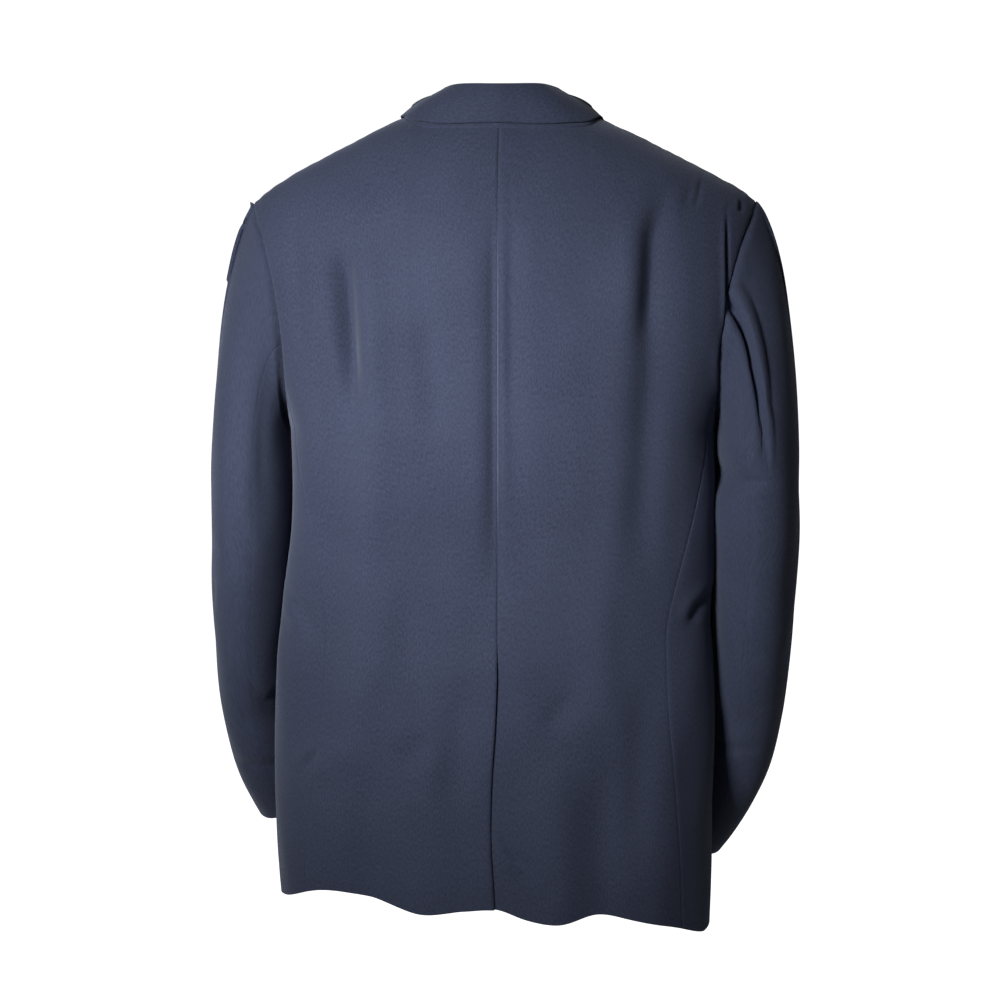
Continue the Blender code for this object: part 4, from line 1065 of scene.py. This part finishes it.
def collar_half(side):
    """Sections of half of the collar, centre back to gorge, each from the neck seam over to the edge."""
    places = np.linspace(0.0, 1.0, COLLAR_PLACES + 1)
    neck_x = NECK_HALF * np.sin(np.minimum(places, 0.5) * math.pi)
    front_levels = 1 + (gorge_level() - 1) * np.maximum(places * 2 - 1, 0.0)
    behind = places <= 0.5
    girths = np.where(behind, girth_at(neck_x / SHOULDER_HALF), front_girths(side, front_levels))
    levels = np.where(behind, level_of(neck_rise(neck_x)), front_levels)
    feet = body(side, girths, levels)
    normals = body_normals(side, girths, np.minimum(levels, COLLAR_TOP))
    neckward = unit(np.cross(normals, np.gradient(feet, axis=0)))
    neckward *= np.sign((neckward * (np.array(NECK_MIDDLE) - feet)).sum(axis=-1))[:, None]
    sections = []
    for foot, normal, inward, place in zip(feet, normals, neckward, places):
        roll = np.array([column_at(COLLAR_LINE, column, place) for column in (1, 2, 3)])
        roll *= (side, 1.0, 1.0)
        edge_x, edge_z = column_at(COLLAR_EDGE, 1, place), column_at(COLLAR_EDGE, 2, place)
        edge_place = (back_place if place <= 0.5 else front_place)(side, edge_x, edge_z)
        edge_normal = body_normals(side, *edge_place)
        edge = body(side, *edge_place) + edge_normal * (FALL_SEAT + SHELL)
        up = unit(roll - foot)
        out = edge - roll
        out = unit(out - up * (out @ up))
        foot = foot - inward * FOOT_TUCK - normal * (SHELL * 2 + FOOT_CLEARANCE)
        section = [foot + (roll - foot) * t for t in np.linspace(0.0, 1.0, STAND_CELLS + 1)]
        for turn in np.linspace(0.0, math.pi, ROLL_CELLS + 1)[1:-1]:
            section.append(roll + COLLAR_ROLL * (out * (1 - math.cos(turn)) + up * math.sin(turn)))
        start = roll + out * COLLAR_ROLL * 2
        for t in np.linspace(0.0, 1.0, FALL_CELLS + 1):
            section.append(start + (edge - start) * t + edge_normal * COLLAR_BOW * math.sin(math.pi * t))
        sections.append(section)
    return np.array(sections)


def add_collar(material):
    left, right = collar_half(LEFT), collar_half(RIGHT)
    grid = np.concatenate([left[::-1], right[1:]])
    along = np.gradient(grid, axis=0)
    over = np.gradient(grid, axis=1)
    normals = unit(np.cross(over, along))
    add_shell("collar", grid, normals, material, {"first": 1.0})


def add_lapel(name, side, material):
    """Turned back along the roll line and lying on the front."""
    share = close_edges(LAPEL_LONG)
    low = ROLL_END_LEVEL + LAPEL_FOOT_LEVEL
    levels = low + (gorge_level() - LAPEL_GORGE_LEVEL - ROLL_END_LEVEL) * share
    roll_x = column_at(FRONT_EDGE, 1, levels)
    roll = smooth_body(side, front_girths(side, levels), levels)
    x_start = np.abs(roll_x) + LAPEL_UNDER_SHIFT if side == RIGHT else roll_x
    width = column_at(LAPEL_WIDTH, 1, share)
    across = close_edges(LAPEL_WIDE)
    x = x_start[:, None] + width[:, None] * across[None, :]
    drop = LAPEL_DROP * smooth_step((share - LAPEL_DROP_START) / (1 - LAPEL_DROP_START))
    z = roll[:, 2][:, None] - drop[:, None] * np.minimum(across / LAPEL_DROP_WIDTH, 1.0)[None, :]
    girths, places = front_place(side, x, z)
    grid = body(side, girths, places)
    normals = body_normals(side, girths, places)
    from_roll = np.clip(width[:, None] * across[None, :] / ROLL_WIDTH, 0.0, 1.0)
    fading = (1 - ROLL_FADE * smooth_step(across))[None, :]
    roll_rise = np.sqrt(np.maximum(1 - (1 - from_roll) ** 2, 0.0)) * fading
    rise = LAPEL_CLEARANCE + SHELL + LAPEL_ROLL * roll_rise * (width / width.max())[:, None]
    grid = grid + normals * rise[..., None]
    add_shell("lapel_" + name, grid, normals, material, {})


def add_flap(name, side, material):
    """A hip pocket's flap, lying on the front, with its lower corners rounded."""
    shares = close_edges(FLAP_WIDE)
    girths = FLAP_OUTER + (FLAP_INNER - FLAP_OUTER) * shares
    hem = smooth_body(side, girths, -np.ones_like(girths))[:, 2]
    from_end = np.minimum(shares, 1 - shares) * FLAP_LENGTH
    missing = np.maximum(FLAP_CORNER - from_end, 0.0)
    depth = FLAP_DEPTH - FLAP_CORNER + np.sqrt(np.maximum(FLAP_CORNER**2 - missing**2, 0.0))
    down = close_edges(FLAP_LONG)
    heights = FLAP_TOP - depth[None, :] * down[:, None]
    levels = (CHEST_HEIGHT - heights) / (hem - CHEST_HEIGHT)[None, :]
    girths = np.repeat(girths[None, :], FLAP_LONG + 1, axis=0)
    normals = body_normals(side, girths, levels)
    curl = FLAP_CURL * smooth_step(down)[:, None]
    grid = body(side, girths, levels) + normals * (LAPEL_CLEARANCE + SHELL + curl)[..., None]
    add_shell("pocket_flap_" + name, grid, normals, material, {"hem": FLAP_SEAM_DEPTH})


def turned_faces(rings, count):
    """Faces of a turned form: its rings joined, and its first and last ring closed."""
    faces = [tuple(range(count))[::-1], tuple(range((rings - 1) * count, rings * count))]
    for ring in range(rings - 1):
        for step in range(count):
            a, b = ring * count + step, ring * count + (step + 1) % count
            faces.append((a, b, b + count, a + count))
    return faces


def button_frame(height):
    """Middle of a button's base on the left front, and its ways across, up and out."""
    girth, level = front_place(LEFT, np.array(0.0), np.array(height))
    centre, normal = body(LEFT, girth, level), body_normals(LEFT, girth, level)
    side_way = unit(np.cross(np.array([0.0, 0.0, 1.0]), normal))
    return centre + normal * BUTTON_SEAT, side_way, np.cross(normal, side_way), normal


def turned_points(base, ways, profile, count, radius):
    """Points of a turned form, ring by ring, by its profile's shares of the radius and the thickness."""
    side_way, up, normal = ways
    points = []
    for share, rise in profile:
        for step in range(count):
            turn = 2 * math.pi * step / count
            arm = side_way * math.cos(turn) + up * math.sin(turn)
            points.append(base + arm * share * radius + normal * rise * BUTTON_THICKNESS)
    return np.array(points)


def add_button(name, height, material, thread):
    """A button with a raised rim, four holes and two stitches of thread."""
    base, side_way, up, normal = button_frame(height)
    ways = (side_way, up, normal)
    points = turned_points(base, ways, BUTTON_PROFILE, BUTTON_STEPS, BUTTON_RADIUS)
    faces = turned_faces(len(BUTTON_PROFILE), BUTTON_STEPS)
    made = add_mesh("piece_button_" + name, points, faces, material)
    cutters = []
    for a, b in ((-1, -1), (-1, 1), (1, -1), (1, 1)):
        middle = base + (side_way * a + up * b) * HOLE_PLACE - normal * BUTTON_THICKNESS
        hole = turned_points(middle, ways, ((1.0, 0.0), (1.0, HOLE_LENGTH)), HOLE_STEPS, HOLE_RADIUS)
        cutters.append(add_mesh("hole", hole, turned_faces(2, HOLE_STEPS), material))
    cut_out(made, cutters)
    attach(made, "root")
    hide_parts("button_" + name)
    for number, b in enumerate((-1, 1)):
        stitch = thread_points(base, side_way, up, normal, b)
        piece = add_thread("thread_" + name + "_" + str(number), stitch, thread)
        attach(piece, "root")


def cut_out(target, cutters):
    """Cuts the cutters out of a mesh and removes them."""
    for cutter in cutters:
        modifier = target.modifiers.new("hole", "BOOLEAN")
        modifier.object = cutter
        modifier.solver = "EXACT"
    graph = bpy.context.evaluated_depsgraph_get()
    cut = bpy.data.meshes.new_from_object(target.evaluated_get(graph))
    target.modifiers.clear()
    target.data = cut
    cut.set_sharp_from_angle(angle=SHARP_ANGLE)
    for cutter in cutters:
        bpy.data.objects.remove(cutter, do_unlink=True)


def thread_points(base, side_way, up, normal, b):
    """The line of one stitch between two holes: up out of one, over and down into the other."""
    points = []
    for t in np.linspace(0.0, 1.0, THREAD_STEPS):
        place = side_way * HOLE_PLACE * (2 * t - 1) + up * HOLE_PLACE * b
        arch = math.sin(math.pi * t) ** 0.5
        points.append(base + place + normal * (BUTTON_THICKNESS * THREAD_FOOT + THREAD_ARCH * arch))
    return np.array(points)


def add_thread(name, line, material):
    """A round thread along a line of points."""
    curve = bpy.data.curves.new(name, "CURVE")
    curve.dimensions = "3D"
    curve.bevel_depth = THREAD_RADIUS
    curve.bevel_resolution = 3
    curve.use_fill_caps = True
    spline = curve.splines.new("POLY")
    spline.points.add(len(line) - 1)
    for point, place in zip(spline.points, line):
        point.co = (*place, 1.0)
    curve.materials.append(material)
    made = bpy.data.objects.new(name, curve)
    bpy.context.scene.collection.objects.link(made)
    return made


def add_node(tree, kind, **settings):
    node = tree.nodes.new(kind)
    for name, value in settings.items():
        setattr(node, name, value)
    return node


def math_node(tree, operation, *values):
    """A Math node whose inputs are numbers or other nodes' outputs."""
    node = add_node(tree, "ShaderNodeMath", operation=operation)
    for socket, value in zip(node.inputs, values):
        if isinstance(value, (int, float)):
            socket.default_value = value
        else:
            tree.links.new(value, socket)
    return node.outputs[0]


def new_material(name):
    material = bpy.data.materials.new(name)
    material.use_nodes = True
    tree = material.node_tree
    return material, tree, tree.nodes["Principled BSDF"]


def set_inputs(node, values):
    for name, value in values.items():
        node.inputs[name].default_value = value


def noise_node(tree, vector, scale, detail):
    node = add_node(tree, "ShaderNodeTexNoise")
    set_inputs(node, {"Scale": scale, "Detail": detail})
    tree.links.new(vector, node.inputs["Vector"])
    return node


def colour_between(tree, share, shader, dark, light, ends=(0.0, 1.0)):
    """Base colour of a shader, from dark to light by a share."""
    ramp = add_node(tree, "ShaderNodeValToRGB")
    for element, colour, place in zip(ramp.color_ramp.elements, (dark, light), ends):
        element.position = place
        element.color = (*colour, 1.0)
    tree.links.new(share, ramp.inputs["Fac"])
    tree.links.new(ramp.outputs["Color"], shader.inputs["Base Color"])


def tinted(colour, tint):
    return [value * tint for value in colour]


def worsted(name, tint):
    """Fine navy worsted: a steep twill, uneven yarns and a slow change of shade, with a soft nap."""
    material, tree, shader = new_material(name)
    place = add_node(tree, "ShaderNodeAttribute", attribute_name="cloth")
    parts = add_node(tree, "ShaderNodeSeparateXYZ")
    tree.links.new(place.outputs["Vector"], parts.inputs[0])
    across, up = parts.outputs["X"], parts.outputs["Y"]
    lean = math_node(tree, "ADD", math_node(tree, "MULTIPLY", across, TWILL_LEAN), up)
    twill = math_node(tree, "SINE", math_node(tree, "MULTIPLY", lean, 2 * math.pi / TWILL_LENGTH))
    yarn = math_node(tree, "SINE", math_node(tree, "MULTIPLY", across, 2 * math.pi / YARN_LENGTH))
    twill = math_node(tree, "MULTIPLY", twill, TWILL_SHARE)
    weave = math_node(tree, "ADD", twill, math_node(tree, "MULTIPLY", yarn, 1 - TWILL_SHARE))
    stretched = add_node(tree, "ShaderNodeVectorMath", operation="MULTIPLY")
    stretched.inputs[1].default_value = GRAIN_STRETCH
    tree.links.new(place.outputs["Vector"], stretched.inputs[0])
    grain = noise_node(tree, stretched.outputs[0], GRAIN_SCALE, GRAIN_DETAIL)
    grain.inputs["Roughness"].default_value = GRAIN_ROUGHNESS
    spot = add_node(tree, "ShaderNodeTexCoord").outputs["Object"]
    shade = noise_node(tree, spot, SHADE_SCALE, SHADE_DETAIL).outputs["Fac"]
    mixed = math_node(tree, "MULTIPLY_ADD", weave, WEAVE_COLOUR, grain.outputs["Fac"])
    mixed = math_node(tree, "MULTIPLY_ADD", math_node(tree, "SUBTRACT", shade, 0.5), SHADE_COLOUR, mixed)
    colour_between(tree, mixed, shader, tinted(CLOTH_DARK, tint), tinted(CLOTH_LIGHT, tint), COLOUR_ENDS)
    bump = add_node(tree, "ShaderNodeBump")
    set_inputs(bump, {"Strength": BUMP_STRENGTH, "Distance": BUMP_HEIGHT})
    height = math_node(tree, "MULTIPLY_ADD", grain.outputs["Fac"], GRAIN_BUMP, weave)
    tree.links.new(height, bump.inputs["Height"])
    tree.links.new(bump.outputs["Normal"], shader.inputs["Normal"])
    set_inputs(shader, WORSTED_FINISH)
    return material


def button_material():
    """Near-black horn-like plastic with faint streaks."""
    material, tree, shader = new_material("button_plastic")
    spot = add_node(tree, "ShaderNodeTexCoord").outputs["Object"]
    streak = noise_node(tree, spot, STREAK_SCALE, STREAK_DETAIL).outputs["Fac"]
    colour_between(tree, streak, shader, BUTTON_TONE, tinted(BUTTON_TONE, STREAK_LIGHT))
    rough = math_node(tree, "MULTIPLY_ADD", streak, STREAK_ROUGHNESS, BUTTON_ROUGHNESS)
    tree.links.new(rough, shader.inputs["Roughness"])
    return material


def thread_material():
    """Twisted navy thread."""
    material, tree, shader = new_material("sewing_thread")
    spot = add_node(tree, "ShaderNodeTexCoord")
    twist = add_node(tree, "ShaderNodeTexWave")
    twist.inputs["Scale"].default_value = TWIST_SCALE
    tree.links.new(spot.outputs["Object"], twist.inputs["Vector"])
    shadow = tinted(THREAD_TONE, TWIST_SHADOW)
    colour_between(tree, twist.outputs["Fac"], shader, shadow, THREAD_TONE)
    set_inputs(shader, THREAD_FINISH)
    return material


def seen_or(tree, seen, cast):
    """A strength that is one number where the camera looks and another for the light that is cast."""
    path = add_node(tree, "ShaderNodeLightPath")
    return math_node(tree, "MULTIPLY_ADD", path.outputs["Is Camera Ray"], seen - cast, cast)


def add_backdrop():
    """A pale floor that turns up into a wall behind the object, in one smooth sweep."""
    profile = [(FLOOR_NEAR, FLOOR_HEIGHT), (-FLOOR_FAR + SWEEP, FLOOR_HEIGHT)]
    for step in range(1, SWEEP_STEPS + 1):
        turn = math.pi / 2 * step / SWEEP_STEPS
        back, up = SWEEP * math.sin(turn), SWEEP * (1 - math.cos(turn))
        profile.append((-FLOOR_FAR + SWEEP - back, FLOOR_HEIGHT + up))
    profile.append((-FLOOR_FAR, BACKDROP_TOP))
    points, faces = [], []
    for x in (-BACKDROP_HALF, BACKDROP_HALF):
        points += [(x, y, z) for y, z in profile]
    count = len(profile)
    for i in range(count - 1):
        faces.append((i, i + 1, i + 1 + count, i + count))
    material, tree, shader = new_material("backdrop")
    set_inputs(shader, BACKDROP_FINISH)
    tree.links.new(seen_or(tree, SEEN_GLOW, BACKDROP_GLOW), shader.inputs["Emission Strength"])
    made = add_mesh("backdrop", np.array(points), faces, material)


def add_light(name, place, target, size, spread, power, colour):
    data = bpy.data.lights.new(name, "AREA")
    data.shape = "RECTANGLE"
    data.size, data.size_y = size
    data.spread = math.radians(spread)
    data.energy = power
    data.color = colour
    made = bpy.data.objects.new(name, data)
    bpy.context.scene.collection.objects.link(made)
    made.location = place
    made.rotation_euler = (Vector(target) - Vector(place)).to_track_quat("-Z", "Y").to_euler()


def add_camera():
    turn, lift = math.radians(CAMERA_TURN), math.radians(CAMERA_LIFT)
    back = Vector((-math.sin(turn) * math.cos(lift), math.cos(turn) * math.cos(lift), math.sin(lift)))
    data = bpy.data.cameras.new("camera")
    data.sensor_width = SENSOR_WIDTH
    data.lens = CAMERA_LENS
    made = bpy.data.objects.new("camera", data)
    bpy.context.scene.collection.objects.link(made)
    made.location = Vector(CAMERA_TARGET) + back * CAMERA_DISTANCE
    made.rotation_mode = "QUATERNION"
    made.rotation_quaternion = (-back).to_track_quat("-Z", "Y")
    bpy.context.scene.camera = made


def add_world():
    world = bpy.data.worlds.new("studio")
    world.use_nodes = True
    tree = world.node_tree
    background = tree.nodes["Background"]
    background.inputs["Color"].default_value = (1.0, 1.0, 1.0, 1.0)
    tree.links.new(seen_or(tree, SEEN_GLOW, WORLD_LIGHT), background.inputs["Strength"])
    bpy.context.scene.world = world
    bpy.context.scene.view_settings.view_transform = "Standard"


def main():
    add_camera()
    add_world()
    add_backdrop()
    for light in LIGHTS:
        add_light(*light)
    suiting = worsted("worsted", 1.0)
    collar_cloth = worsted("worsted_collar", COLLAR_TINT)
    plastic, thread = button_material(), thread_material()
    for name, side in SIDES:
        back_panel("back_" + name, side, suiting)
        side_panel("side_" + name, side, suiting)
        front_panel("front_" + name, side, suiting)
        add_sleeve(name, side, suiting)
        add_lapel(name, side, suiting)
        add_flap(name, side, suiting)
    add_collar(collar_cloth)
    for name, height in BUTTON_HEIGHTS:
        add_button(name, height, plastic, thread)


main()
